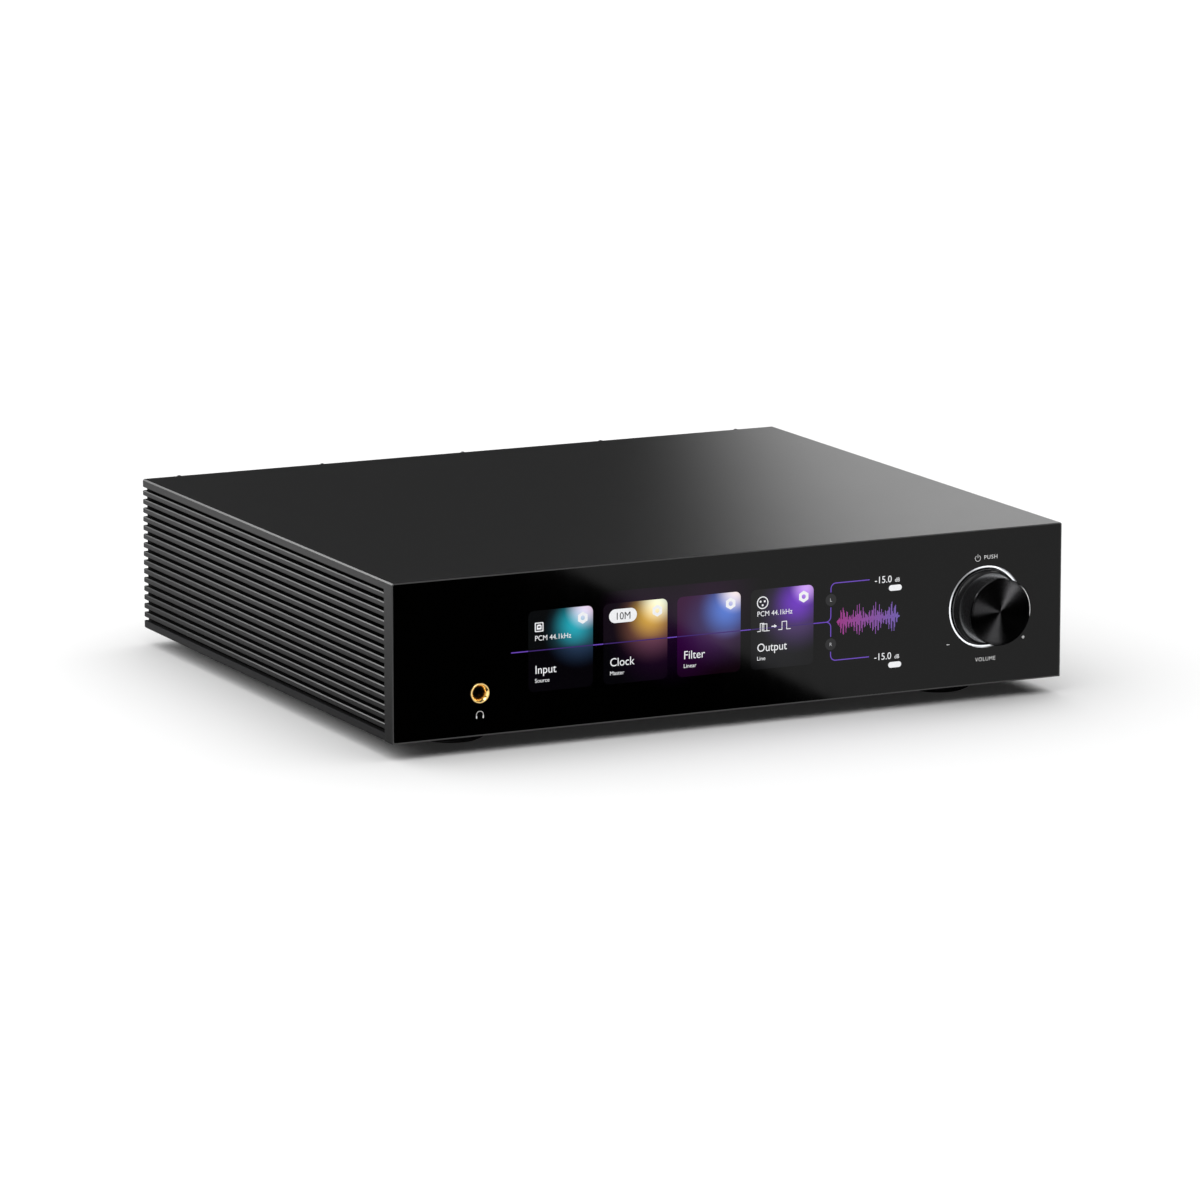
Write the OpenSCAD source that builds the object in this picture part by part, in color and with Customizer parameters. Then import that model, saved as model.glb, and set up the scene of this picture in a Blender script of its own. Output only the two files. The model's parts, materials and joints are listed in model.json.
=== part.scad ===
// Full-width desktop audio DAC: finned aluminium case, black glass front with a bar display,
// push-and-turn volume knob, headphone socket, rear sockets and the electronics inside.
// Frame: +Z up, the front faces -Y, origin on the surface it stands on, at the centre of its box.

/* [Body] */
// Width of the case over the side ribs
body_w = 430; // [400:1:480]
// Depth of the case from the glass to the rear panel
body_d = 370; // [340:1:420]
// Height of the case without its feet
body_h = 92; // [88:1:110]
// Height of the feet
foot_h = 10; // [8:0.5:16]
// Thickness of the top and bottom plates at their edges
band = 4.7; // [4:0.1:6]
// Chamfer along the top edges
edge_chamfer = 0.8; // [0.3:0.1:1.2]

/* [Side ribs] */
// Number of grooves on each side
groove_count = 16; // [8:1:18]
// Height of one groove
groove_h = 2.2; // [1.5:0.1:3]
// Depth of the grooves
groove_depth = 3.3; // [2:0.1:4]
// Thickness of the side panel behind the grooves
side_t = 4.7; // [4:0.1:8]
// Chamfer on the edges of each rib
rib_chamfer = 0.45; // [0.2:0.05:0.7]

/* [Front] */
// Depth of the front frame
frame_d = 11; // [10:0.5:14]
// Width of the metal rim round the glass
rim = 0.7; // [0.5:0.1:2]
// Thickness of the glass
glass_t = 3; // [2:0.5:4]
// Radius of the middle of the light ring
ring_r = 23.75; // [22:0.25:28]
// Width of the light ring
ring_w = 1; // [0.6:0.1:2]

/* [Knob] */
// Radius of the knob's front face
knob_r = 19.9; // [16:0.1:21]
// How far the knob stands out from the glass
knob_out = 18; // [14:0.5:24]
// Travel of the knob when it is pushed
push_travel = 1.5; // [0.5:0.1:1.5]

/* [Feet] */
// Radius of a foot
foot_r = 20; // [18:0.5:24]
// Distance from the side of the case to a foot's centre
foot_in_x = 57; // [40:1:80]
// Distance from the front and the back of the case to a foot's centre
foot_in_y = 46; // [40:1:70]

/* [Rear] */
// How far the clock socket stands out from the rear panel
rear_out = 12; // [11:0.5:14]
// Thickness of the rear panel
rear_t = 2; // [1.5:0.5:3]
// Height of the upper row of sockets above the case's underside
row_hi = 62; // [56:1:66]
// Height of the lower row of sockets above the case's underside
row_lo = 28; // [24:1:34]

/* [Hidden] */
$fn = 64;

// Places of the case's faces
x_side = body_w / 2;
y_front = -(body_d - knob_out + rear_out) / 2;
y_back = y_front + body_d;
z_low = foot_h;
z_top = foot_h + body_h;
z_mid = foot_h + body_h / 2;
y_frame = y_front + frame_d;       // back of the front frame
y_glass = y_front + glass_t;       // back of the glass
y_web = y_glass + 3;               // back of the frame's web behind the glass
y_rear_in = y_back - rear_t;       // inner face of the rear panel
x_inner = x_side - groove_depth - side_t;
plate_t = 2.5;                     // plates inside their thicker edges
z_floor = z_low + plate_t;         // upper face of the bottom plate
z_ceiling = z_top - plate_t;
rib_h = (body_h - 2 * band - groove_count * groove_h) / (groove_count - 1);
lip = 8;                           // width of the plates' thick edges
glass_corner = 1;
vent_count = 14;
vent_pitch = 9;
pad_r = foot_r - 4.1;
pad_t = 3;
web = foot_h - 4;                  // underside of a foot's web, over its screw's head

// Knob, light ring and encoder, on one axis
knob_x = x_side - 50.3;
knob_gap = 0.3;                    // knob's back edge to the glass
skirt_r = 22.4;                    // knob's flared back edge
bush_r = 4.5;
shaft_r = 3;
shaft_flat = 2.5;                  // depth from the axis to the grub screw's flat
y_grub = y_front - 10;
run = 0.04;                        // radial clearance of a running fit
well_r = ring_r - ring_w / 2 - 0.05;
well_t = 2;
y_well = y_front + 2.1;            // front of the well's floor
enc_t = 8;                         // depth of the encoder's housing
y_enc = y_well + well_t;           // front of the encoder's housing
y_ctrl = y_enc + enc_t;            // front of the control board
rotor_t = 1.5;
board_t = 1.6;

// Headphone socket
jack_x = -x_side + 54;
jack_z = z_low + 24.7;
jack_r = 5.85;                     // gold flange
jack_bore = 3.3;                   // for a 6.35 mm plug
jack_thread = 4.8;

// Pocket in the back of the frame, its bosses, and the display's window
pocket_w = 386;
pocket_h = 78;
bracket_z = [z_low + 22, z_top - 22];
y_bracket = y_web + 3;
window_x0 = -x_side + 70;
window_x1 = -x_side + 328;
window_h = 62;
function bracket_bosses() = [for (x = [window_x0 + 10, window_x1 - 10], s = [-1, 1])
    [x, z_mid + s * 36.4]];
function control_bosses() = [for (s = [-1, 1], t = [-1, 1]) [knob_x + s * 23, z_mid + t * 28]];

// Places on the rear panel, as [x, z]
inlet_xz = [-168, z_mid];
clock_xz = [-104, z_low + row_lo];
data_xz = [-96, z_low + row_hi];
usb_xz = [-66, z_low + row_lo];
optical_xz = [-66, z_low + row_hi];
xlr_in_xz = [4, z_mid];
xlr_out_x = [104, 162];
rca_xz = [for (x = [-36, 54], z = [z_low + row_hi, z_low + row_lo]) [x, z]];
trigger_xz = [for (z = [row_hi, row_lo + 2]) [-128, z_low + z]];
rear_screw_x = [-190, -95, 0, 95, 190];
side_screw_x = x_inner + 1.9;
side_screw_z = [z_low + 20, z_top - 20];
flange = [26, 31, 1.6];            // XLR flange: width, height, thickness
xlr_cavity_r = 8.2;
xlr_ring_r = 9.7;
xlr_pin_r = 1.2;
xlr_pin_circle = 3.9;
rca_r = 4.15;
rca_len = 9.5;
rca_inside = 9;                    // length of a phono socket inside the case
rca_core_r = 3.2;
clock_r = 4.8;
trigger_r = 1.8;
inlet_w = 31;
inlet_h = 64;
inlet_t = 2.5;
rocker_z = inlet_xz[1] + 19;
fuse_z = inlet_xz[1] + 2;
socket_z = inlet_xz[1] - 17;
rocker_swing = 10;                 // each way from level
y_socket_floor = y_back - 17.5;
fuse_len = 20;
fuse_r = 2.5;

// Boards inside
z_board = z_floor + 9.5;
main_x = [-98, 200];
main_y = [-30, y_rear_in - 10];
power_x = [-200, -108];
power_y = [52, 140];
core_r = 44;
core_h = 42;
core_xy = [[-152, -94], [-152, 6]];
wall_x = -105;
capacitor_xy = concat(             // [x, y, radius, height]
    [for (x = [-190 : 24 : -118], y = [72, 96]) [x, y, 10, 36]],
    [for (x = [-58 : 20 : 2], y = [-10, 12]) [x, y, 8, 26]]);

// ---------- helpers ----------
module block(x, y, z) {
    translate([x[0], y[0], z[0]]) cube([x[1] - x[0], y[1] - y[0], z[1] - z[0]]);
}

module rod_y(at, y, r) {
    translate([at[0], y[1], at[1]]) rotate([90, 0, 0]) cylinder(h = y[1] - y[0], r = r);
}

module rod_z(at, z, r) {
    translate([at[0], at[1], z[0]]) cylinder(h = z[1] - z[0], r = r);
}

// Solid of revolution about a line along -Y: points are [radius, distance forward of y]
module turned(at, y, points) {
    translate([at[0], y, at[1]]) rotate([90, 0, 0]) rotate_extrude() polygon(points);
}

function arc(c, r, a0, a1, n) =
    [for (i = [0 : n]) let (a = a0 + (a1 - a0) * i / n) [c[0] + r * cos(a), c[1] + r * sin(a)]];

function round_rect(w, h, r, n = 5) = concat(
    arc([w / 2 - r, h / 2 - r], r, 0, 90, n), arc([r - w / 2, h / 2 - r], r, 90, 180, n),
    arc([r - w / 2, r - h / 2], r, 180, 270, n), arc([w / 2 - r, r - h / 2], r, 270, 360, n));

// Plate standing in the XZ plane with round corners, centred at [x, z]
module plate_y(at, y, w, h, r) {
    translate([at[0], y[1], at[1]]) rotate([90, 0, 0])
        linear_extrude(y[1] - y[0]) polygon(round_rect(w, h, r));
}

// Screw pointing to -Y, with its head's underside on the plane y and a hexagon socket
module screw_y(at, y, r, len, head_r, head_h) {
    difference() {
        union() {
            rod_y(at, [y, y + head_h], head_r);
            rod_y(at, [y - len, y + 0.1], r);
        }
        translate([at[0], y + head_h + 0.1, at[1]]) rotate([90, 0, 0])
            cylinder(h = head_h * 0.6 + 0.1, r = head_r * 0.5, $fn = 6);
    }
}

// Screw pointing down, with its head's underside on the plane z
module screw_z(at, z, r, len, head_r, head_h) {
    difference() {
        union() {
            rod_z(at, [z, z + head_h], head_r);
            rod_z(at, [z - len, z + 0.1], r);
        }
        translate([at[0], at[1], z + head_h * 0.4]) cylinder(h = head_h, r = head_r * 0.5, $fn = 6);
    }
}

// Lead through points, with a ball at each bend
module wire(points, r) {
    for (i = [0 : len(points) - 2]) {
        a = points[i];
        d = points[i + 1] - a;
        translate(a) rotate([0, acos(d[2] / norm(d)), atan2(d[1], d[0])])
            cylinder(h = norm(d), r = r, $fn = 8);
        if (i > 0) translate(a) sphere(r = r * 1.05, $fn = 8);
    }
}

// ---------- case ----------
module front_frame() color("#2b2b2d") difference() {
    block([-x_side, x_side], [y_front, y_frame], [z_low, z_top]);
    plate_y([0, z_mid], [y_front - 1, y_glass], body_w - 2 * rim, body_h - 2 * rim, glass_corner);
    difference() {
        plate_y([0, z_mid], [y_web, y_frame + 1], pocket_w, pocket_h, 3);
        // bosses for the display's bracket and for the control board
        for (p = bracket_bosses()) rod_y(p, [y_web - 1, y_bracket], 2);
        for (p = control_bosses()) rod_y(p, [y_web - 1, y_ctrl], 2.6);
    }
    for (p = bracket_bosses()) rod_y(p, [y_web - 1, y_bracket + 1], 1.05);
    for (p = control_bosses()) rod_y(p, [y_web - 1, y_ctrl + 1], 1.25);
    for (s = [-1, 1], z = bracket_z) rod_y([s * (x_inner - 9), z], [y_frame - 5, y_frame + 1], 1.5);
    block([window_x0, window_x1], [y_glass - 1, y_web + 1],
        [z_mid - window_h / 2, z_mid + window_h / 2]);
    rod_y([knob_x, z_mid], [y_glass - 1, y_web + 1], ring_r + ring_w / 2 + 0.1);
    rod_y([jack_x, jack_z], [y_glass - 1, y_web + 1], jack_thread + 0.1);
    // chamfers along the top edges, over the ends
    for (s = [-1, 1]) translate([s * x_side, y_front - 1, z_top]) rotate([0, 45, 0])
        translate([-edge_chamfer / sqrt(2), 0, -edge_chamfer / sqrt(2)])
            cube([edge_chamfer * sqrt(2), frame_d + 2, edge_chamfer * sqrt(2)]);
}

module front_glass() color("#050505") difference() {
    plate_y([0, z_mid], [y_front, y_glass], body_w - 2 * rim - 0.1, body_h - 2 * rim - 0.1,
        glass_corner);
    rod_y([knob_x, z_mid], [y_front - 1, y_glass + 1], ring_r + ring_w / 2 + 0.1);
    rod_y([jack_x, jack_z], [y_front - 1, y_glass + 1], jack_thread + 0.1);
}

// Plate with thick edges, in the XZ profile, flat side outwards
module cover_profile() {
    polygon([[-x_side, -band], [-x_side, -edge_chamfer], [edge_chamfer - x_side, 0],
        [x_side - edge_chamfer, 0], [x_side, -edge_chamfer], [x_side, -band],
        [x_inner - lip, -band], [x_inner - lip, -plate_t],
        [lip - x_inner, -plate_t], [lip - x_inner, -band]]);
}

module cover_plate() {
    translate([0, y_rear_in, 0]) rotate([90, 0, 0])
        linear_extrude(y_rear_in - y_frame) cover_profile();
    for (y = [y_frame, y_rear_in - lip])
        block([lip - x_inner - 0.5, x_inner - lip + 0.5], [y, y + lip], [-band, -plate_t + 0.5]);
}

module top_cover() color("#2a2a2c") difference() {
    translate([0, 0, z_top]) cover_plate();
    for (x = rear_screw_x)
        rod_y([x, z_top - band / 2], [y_rear_in - 7, y_rear_in + 1], 1.25);
}

module bottom_plate() color("#232325") difference() {
    translate([0, 0, z_low]) mirror([0, 0, 1]) cover_plate();
    for (x = rear_screw_x)
        rod_y([x, z_low + band / 2], [y_rear_in - 7, y_rear_in + 1], 1.25);
    for (i = [0 : vent_count - 1], y = [-120, 60])
        block([-58 + i * vent_pitch, -55 + i * vent_pitch], [y, y + 60], [z_low - 1, z_floor + 1]);
    for (p = foot_places()) rod_z(p, [z_low - 1, z_floor + 1], 1.75);
    for (p = core_xy) rod_z(p, [z_low - 1, z_floor + 1], 2.6);
}

function foot_places() = [for (x = [foot_in_x - x_side, x_side - foot_in_x],
    y = [y_front + foot_in_y, y_back - foot_in_y]) [x, y]];

// Extruded side, ribs outwards: points of the XZ outline from the bottom up
module side_profile() {
    z0 = z_low + band;
    z1 = z_top - band;
    root = x_side - groove_depth;
    ribs = [for (i = [0 : groove_count - 2]) let (b = z0 + groove_h + i * (rib_h + groove_h))
        each [[root, b], [x_side - rib_chamfer, b], [x_side, b + rib_chamfer],
            [x_side, b + rib_h - rib_chamfer], [x_side - rib_chamfer, b + rib_h],
            [root, b + rib_h]]];
    polygon(concat([[x_inner, z0], [root, z0]], ribs, [[root, z1], [x_inner, z1]]));
}

module side_panel() difference() {
    translate([0, y_rear_in, 0]) rotate([90, 0, 0])
        linear_extrude(y_rear_in - y_frame) side_profile();
    for (z = side_screw_z) rod_y([side_screw_x, z], [y_rear_in - 8, y_rear_in + 1], 1.25);
    for (z = bracket_z) translate([x_inner - 1, y_frame + 9, z]) rotate([0, 90, 0])
        cylinder(h = 4.2, r = 1.5);
}

module left_side_panel() color("#3a3a3c") mirror([1, 0, 0]) side_panel();

module right_side_panel() color("#3a3a3c") side_panel();

module rear_panel() color("#1e1e20") difference() {
    block([-x_side + groove_depth + 0.2, x_side - groove_depth - 0.2], [y_rear_in, y_back],
        [z_low + 0.5, z_top - 0.5]);
    for (x = rear_screw_x, z = [z_low + band / 2, z_top - band / 2])
        rod_y([x, z], [y_rear_in - 1, y_back + 1], 1.6);
    for (s = [-1, 1], z = side_screw_z)
        rod_y([s * side_screw_x, z], [y_rear_in - 1, y_back + 1], 1.6);
    plate_y(inlet_xz, [y_rear_in - 1, y_back + 1], inlet_w - 3, inlet_h - 3, 1);
    for (x = concat([xlr_in_xz[0]], xlr_out_x)) {
        rod_y([x, z_mid], [y_rear_in - 1, y_back + 1], 12.1);
        for (s = [-1, 1]) rod_y([x + s * 9.5, z_mid + s * 12], [y_rear_in - 1, y_back + 1], 1.3);
    }
    for (p = rca_xz) rod_y(p, [y_rear_in - 1, y_back + 1], 5.1);
    rod_y(clock_xz, [y_rear_in - 1, y_back + 1], 6.1);
    for (p = trigger_xz) rod_y(p, [y_rear_in - 1, y_back + 1], 3.1);
    plate_y(data_xz, [y_rear_in - 1, y_back + 1], 15.4, 6, 0.2);
    plate_y(usb_xz, [y_rear_in - 1, y_back + 1], 12.4, 11.4, 0.5);
    plate_y(optical_xz, [y_rear_in - 1, y_back + 1], 10.2, 10.2, 0.5);
}

// L brackets that tie the front frame to the side panels
module corner_brackets() color("silver") for (s = [-1, 1], z = bracket_z)
    translate([s * x_inner, y_frame, z]) mirror([s > 0 ? 1 : 0, 0, 0]) difference() {
        union() {
            block([0, 1.5], [0, 16], [-6, 6]);
            block([0, 14], [0, 1.5], [-6, 6]);
        }
        translate([-1, 9, 0]) rotate([0, 90, 0]) cylinder(h = 4, r = 1.6);
        rod_y([9, 0], [-1, 3], 1.6);
    }

module inner_screws() color("#b8b8bc") {
    for (s = [-1, 1], z = bracket_z) {
        screw_y([s * (x_inner - 9), z], y_frame + 1.5, 1.45, 5, 2.8, 1.8);
        translate([s * (x_inner - 1.5), y_frame + 9, z]) rotate([0, -s * 90, 0])
            screw_z([0, 0], 0, 1.45, 4, 2.8, 1.8);
    }
    for (p = bracket_bosses()) screw_y(p, y_bracket + 1.2, 1, 4, 1.8, 1.3);
    for (p = control_bosses()) screw_y(p, y_ctrl + board_t, 1.2, 5, 2.3, 1.5);
    for (p = standoff_places()) screw_z(p, z_board + board_t, 1.45, 5, 2.8, 1.8);
}

module rear_screws() color("#101012") {
    for (x = rear_screw_x, z = [z_low + band / 2, z_top - band / 2])
        screw_y([x, z], y_back, 1.24, 7, 2.2, 1.6);
    for (s = [-1, 1], z = side_screw_z)
        screw_y([s * side_screw_x, z], y_back, 1.24, 7, 2.2, 1.6);
    for (x = concat([xlr_in_xz[0]], xlr_out_x), s = [-1, 1])
        screw_y([x + s * 9.5, z_mid + s * 12], y_back + flange[2], 1.24, 5, 2.2, 1.6);
}

module foot_bodies() color("#151516") for (p = foot_places()) translate([p[0], p[1], 0])
    rotate_extrude() polygon([[2.2, web], [6, web], [6, pad_t], [pad_r + 0.1, pad_t],
        [pad_r + 0.1, 1.2], [foot_r - 1.4, 1.2], [foot_r - 0.8, 1.8],
        [foot_r, foot_h - 2], [foot_r, foot_h], [2.2, foot_h]]);

module foot_pads() color("#0a0a0a") for (p = foot_places()) rod_z(p, [0, pad_t], pad_r);

module foot_screws() color("#b8b8bc") for (p = foot_places()) {
    rod_z(p, [web - 2.2, web], 4);
    rod_z(p, [web - 0.1, z_floor], 1.7);
}

// ---------- behind the glass ----------
module display_panel() color("#0c0c10") {
    block([window_x0 + 0.5, window_x1 - 0.5], [y_glass, y_web + 3],
        [z_mid - window_h / 2 + 0.5, z_mid + window_h / 2 - 0.5]);
    block([window_x0 - 4, window_x1 + 4], [y_web, y_web + 3],
        [z_mid - window_h / 2 - 3, z_mid + window_h / 2 + 3]);
}

module display_bracket() color("#a8a8ac") difference() {
    union() {
        block([window_x0 - 6, window_x1 + 6], [y_bracket, y_bracket + 1.2],
            [z_mid - 38.4, z_mid + 38.4]);
        for (x = [window_x0 - 6, window_x1 + 4.8])
            block([x, x + 1.2], [y_bracket, y_bracket + 10], [z_mid - 38.4, z_mid + 38.4]);
    }
    for (p = bracket_bosses()) rod_y(p, [y_bracket - 1, y_bracket + 2], 1.2);
    for (x = [-90 : 40 : 70])
        block([x, x + 26], [y_bracket - 1, y_bracket + 2], [z_mid - 20, z_mid + 20]);
}

y_proc = y_bracket + 8;
module processor_board() color("#0e3b24") {
    block([-95, 65], [y_proc, y_proc + board_t], [z_mid - 30, z_mid + 30]);
    for (c = [[-60, 8, 22], [-20, 10, 14], [5, 10, 14], [-60, -18, 12], [35, -10, 16]])
        block([c[0] - c[2] / 2, c[0] + c[2] / 2], [y_proc + board_t, y_proc + board_t + 1.6],
            [z_mid + c[1] - c[2] / 2, z_mid + c[1] + c[2] / 2]);
    for (x = [-90, 60], z = [-26, 26])
        rod_y([x, z_mid + z], [y_bracket + 1.2, y_proc], 2.5);
}

// ---------- volume control ----------
module knob_blank() turned([knob_x, z_mid], y_front, concat(
    [[shaft_r + 0.02, 5], [7, 5], [7, knob_out - 3], [17, knob_out - 3], [17, 6.5], [19, knob_gap],
        [skirt_r - 0.4, knob_gap], [skirt_r, knob_gap + 0.5]],
    [for (a = [0 : 10 : 90])
        [skirt_r - (skirt_r - knob_r - 0.2) * sin(a), knob_gap + 5.2 - 4 * cos(a)]],
    [[knob_r, knob_out - 0.5], [knob_r - 0.5, knob_out], [0, knob_out], [0, knob_out - 2.6],
        [shaft_r + 0.02, knob_out - 2.6]]));

module volume_knob() color("#0b0b0c") difference() {
    knob_blank();
    // tapped hole in the hub, reached through a hole in the skirt underneath
    rod_z([knob_x, y_grub], [z_mid - knob_r - 1, z_mid - 1], 1.5);
}

module knob_grub_screw() color("#707074") difference() {
    rod_z([knob_x, y_grub], [z_mid - 6.8, z_mid - shaft_flat], 1.45);
    translate([knob_x, y_grub, z_mid - 7]) cylinder(h = 1.8, r = 0.8, $fn = 6);
}

module encoder_shaft() color("#c8c8cc") difference() {
    rod_y([knob_x, z_mid], [y_front - knob_out + 2.8, y_enc + 3.3], shaft_r);
    // flat that turns the rotor, and flat for the grub screw
    block([knob_x - 4, knob_x + 4], [y_enc - 2, y_enc + 4], [z_mid + 2.2, z_mid + 4]);
    block([knob_x - 4, knob_x + 4], [y_grub - 3, y_grub + 3], [z_mid - 4, z_mid - shaft_flat]);
}

module encoder_rotor() color("#e8e4d8") difference() {
    rod_y([knob_x, z_mid], [y_enc + 0.9, y_enc + 0.9 + rotor_t], 4.7);
    intersection() {
        rod_y([knob_x, z_mid], [y_enc, y_enc + 4], shaft_r + run);
        block([knob_x - 4, knob_x + 4], [y_enc, y_enc + 4], [z_mid - 4, z_mid + 2.2 + run]);
    }
}

module encoder_body() color("#8c8f94") difference() {
    union() {
        block([knob_x - 6, knob_x + 6], [y_enc, y_ctrl], [z_mid - 6.5, z_mid + 6.5]);
        rod_y([knob_x, z_mid], [y_front - 3, y_enc + 0.1], bush_r);
    }
    rod_y([knob_x, z_mid], [y_front - 4, y_enc + 1], shaft_r + run);
    rod_y([knob_x, z_mid], [y_enc + 0.7, y_enc + 2.6], 5);
    rod_y([knob_x, z_mid], [y_enc + 2.5, y_ctrl - 0.8], shaft_r + 0.4);
    rod_y([knob_x, z_mid], [y_enc + 2.5, y_ctrl + 1], 1.1);
}

module encoder_nut() color("#b8b8bc") difference() {
    translate([knob_x, y_well, z_mid]) rotate([90, 0, 0]) cylinder(h = 2, r = 6.4, $fn = 6);
    rod_y([knob_x, z_mid], [y_well - 3, y_well + 1], bush_r + 0.02);
}

// Disc that the shaft presses, with the stem that closes the switch
module encoder_plunger() color("#d8d4c8") {
    rod_y([knob_x, z_mid], [y_enc + 3.5, y_enc + 4.5], 2.4);
    rod_y([knob_x, z_mid], [y_enc + 4.4, y_enc + 6.2], 0.8);
}

module knob_well() color("#141416") difference() {
    rod_y([knob_x, z_mid], [y_well, y_ctrl], well_r);
    rod_y([knob_x, z_mid], [y_well + well_t, y_ctrl + 1], well_r - 2.5);
    rod_y([knob_x, z_mid], [y_well - 1, y_ctrl], bush_r + 0.05);
}

module light_ring() color("white") difference() {
    union() {
        rod_y([knob_x, z_mid], [y_front, y_web + 1.5], ring_r + ring_w / 2);
        rod_y([knob_x, z_mid], [y_web, y_web + 1.5], ring_r + 3);
    }
    rod_y([knob_x, z_mid], [y_front - 1, y_web + 3], ring_r - ring_w / 2);
}

module control_board() color("#0e3b24") {
    difference() {
        block([knob_x - 27, knob_x + 27], [y_ctrl, y_ctrl + board_t], [z_mid - 32, z_mid + 32]);
        for (p = control_bosses()) rod_y(p, [y_ctrl - 1, y_ctrl + 3], 1.3);
    }
    // light emitters behind the ring, and the ribbon's socket
    for (a = [0 : 30 : 330])
        translate([knob_x + (ring_r + 1.4) * cos(a), y_ctrl, z_mid + (ring_r + 1.4) * sin(a)])
            rotate([90, 0, 0]) cylinder(h = 0.7, r = 0.9, $fn = 16);
    block([knob_x - 10, knob_x + 10], [y_ctrl + board_t, y_ctrl + board_t + 4], [z_mid - 30, z_mid - 25]);
}

// ---------- headphone socket ----------
module headphone_ferrule() color("gold") turned([jack_x, jack_z], y_front, [
    [jack_bore, -11], [jack_thread, -11], [jack_thread, 0], [jack_r, 0], [jack_r, 0.35],
    [jack_r - 0.35, 0.7], [jack_r - 0.9, 0.7], [jack_bore, -2.2]]);

module headphone_nut() color("#c0a050") difference() {
    translate([jack_x, y_web + 2, jack_z]) rotate([90, 0, 0]) cylinder(h = 2, r = 7.2, $fn = 6);
    rod_y([jack_x, jack_z], [y_web - 1, y_web + 3], jack_thread + 0.02);
}

module headphone_jack_body() color("#161618") difference() {
    block([jack_x - 8, jack_x + 8], [y_front + 11, y_front + 40], [jack_z - 8, jack_z + 8]);
    rod_y([jack_x, jack_z], [y_front + 10, y_front + 37], 3.6);
}

// ---------- boards ----------
function standoff_places() = concat(
    [for (x = [main_x[0] + 6, 51, main_x[1] - 6], y = [main_y[0] + 6, main_y[1] - 22]) [x, y]],
    [for (x = [power_x[0] + 5, power_x[1] - 5], y = [power_y[0] + 5, power_y[1] - 5]) [x, y]]);

module board_standoffs() color("#c9a24a") for (p = standoff_places()) difference() {
    translate([p[0], p[1], z_floor]) cylinder(h = z_board - z_floor, r = 3, $fn = 6);
    rod_z(p, [z_board - 6, z_board + 1], 1.5);
}

module main_board() color("#101a12") {
    difference() {
        block(main_x, main_y, [z_board, z_board + board_t]);
        for (p = standoff_places()) rod_z(p, [z_board - 1, z_board + 3], 1.6);
    }
}

module power_board() color("#101a12") difference() {
    block(power_x, power_y, [z_board, z_board + board_t]);
    for (p = standoff_places()) rod_z(p, [z_board - 1, z_board + 3], 1.6);
}

// Wound toroidal cores with round shoulders
module transformers() color("#7a4a1e") for (p = core_xy) translate([p[0], p[1], z_floor + 3])
    rotate_extrude() polygon(concat(
        arc([core_r - 8, 8], 8, -90, 0, 6), arc([core_r - 8, core_h - 8], 8, 0, 90, 6),
        arc([19, core_h - 5], 5, 90, 180, 5), arc([19, 5], 5, 180, 270, 5)));

// For each transformer a rubber pad, a dished washer and the bolt that holds them
module transformer_clamps() for (p = core_xy) {
    z_washer = z_floor + 3 + core_h;
    color("#303034") difference() {
        union() {
            rod_z(p, [z_floor, z_floor + 3], core_r - 6);
            rod_z(p, [z_washer, z_washer + 2.5], core_r - 14);
        }
        rod_z(p, [z_floor - 1, z_washer + 4], 2.6);
    }
    color("#c8c8cc") {
        rod_z(p, [z_low + 0.4, z_washer + 3], 2.5);
        translate([p[0], p[1], z_washer + 2.5]) cylinder(h = 4, r = 4.6, $fn = 6);
    }
}

module reservoir_capacitors() color("#1c2f4a") for (c = capacitor_xy)
    translate([c[0], c[1], z_board + board_t]) rotate_extrude() polygon(
        [[0, 0], [c[2], 0], [c[2], 2], [c[2] - 0.6, 2.8], [c[2], 3.6], [c[2], c[3] - 0.8],
            [c[2] - 0.8, c[3]], [0, c[3]]]);

module heatsink(at, w) {
    translate([at[0] - w / 2, at[1], z_board + board_t]) {
        cube([w, 3, 30]);
        for (x = [0 : 5 : w - 2]) translate([x, 2.9, 0]) cube([1.5, 11, 30]);
    }
}

module regulator_heatsinks() color("#18181a") {
    heatsink([-150, 116], 70);
    heatsink([40, -20], 41);
}

module clock_oven() color("#b9a06a") {
    plate = [36, 27];
    block([-46, -46 + plate[0]], [50, 50 + plate[1]], [z_board + board_t, z_board + board_t + 18]);
    block([-47, -45 + plate[0]], [49, 51 + plate[1]], [z_board + board_t, z_board + board_t + 1.2]);
}

module relays() color("#e8e4d8") for (i = [0 : 7], j = [0, 1])
    block([78 + i * 14, 88 + i * 14], [20 + j * 26, 40 + j * 26],
        [z_board + board_t, z_board + board_t + 10]);

module converter_chips() color("#0c0c0e") for (c = [[30, 60, 14], [30, 90, 14], [5, 30, 20],
        [110, 100, 10], [140, 100, 10], [170, 100, 10], [-20, 120, 16], [60, 120, 8], [75, 120, 8]])
    block([c[0] - c[2] / 2, c[0] + c[2] / 2], [c[1] - c[2] / 2, c[1] + c[2] / 2],
        [z_board + board_t, z_board + board_t + 1.6]);

module shield_wall() color("#9a9a9e") {
    block([wall_x, wall_x + 1.2], [-140, 160], [z_floor, z_top - 12]);
    block([wall_x, wall_x + 5], [-140, 160], [z_floor, z_floor + 1.2]);
}

// Insulated leads: inlet to power board, and each transformer to the power board
module mains_wiring() color("#202024") {
    y_tabs = y_back - 36;
    for (i = [0, 1]) wire([[-175 + i * 14, y_tabs, 36], [-175 + i * 14, y_tabs - 8, 36],
        [-175 + i * 14, y_tabs - 14, 30], [-175 + i * 14, y_tabs - 14, z_board + board_t]], 1.5);
    for (x = [-176, -152, -128]) wire([[x, 52, 44], [x, 55, 42], [x, 56, 36],
        [x, 56, z_board + board_t]], 1.1);
}

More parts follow.
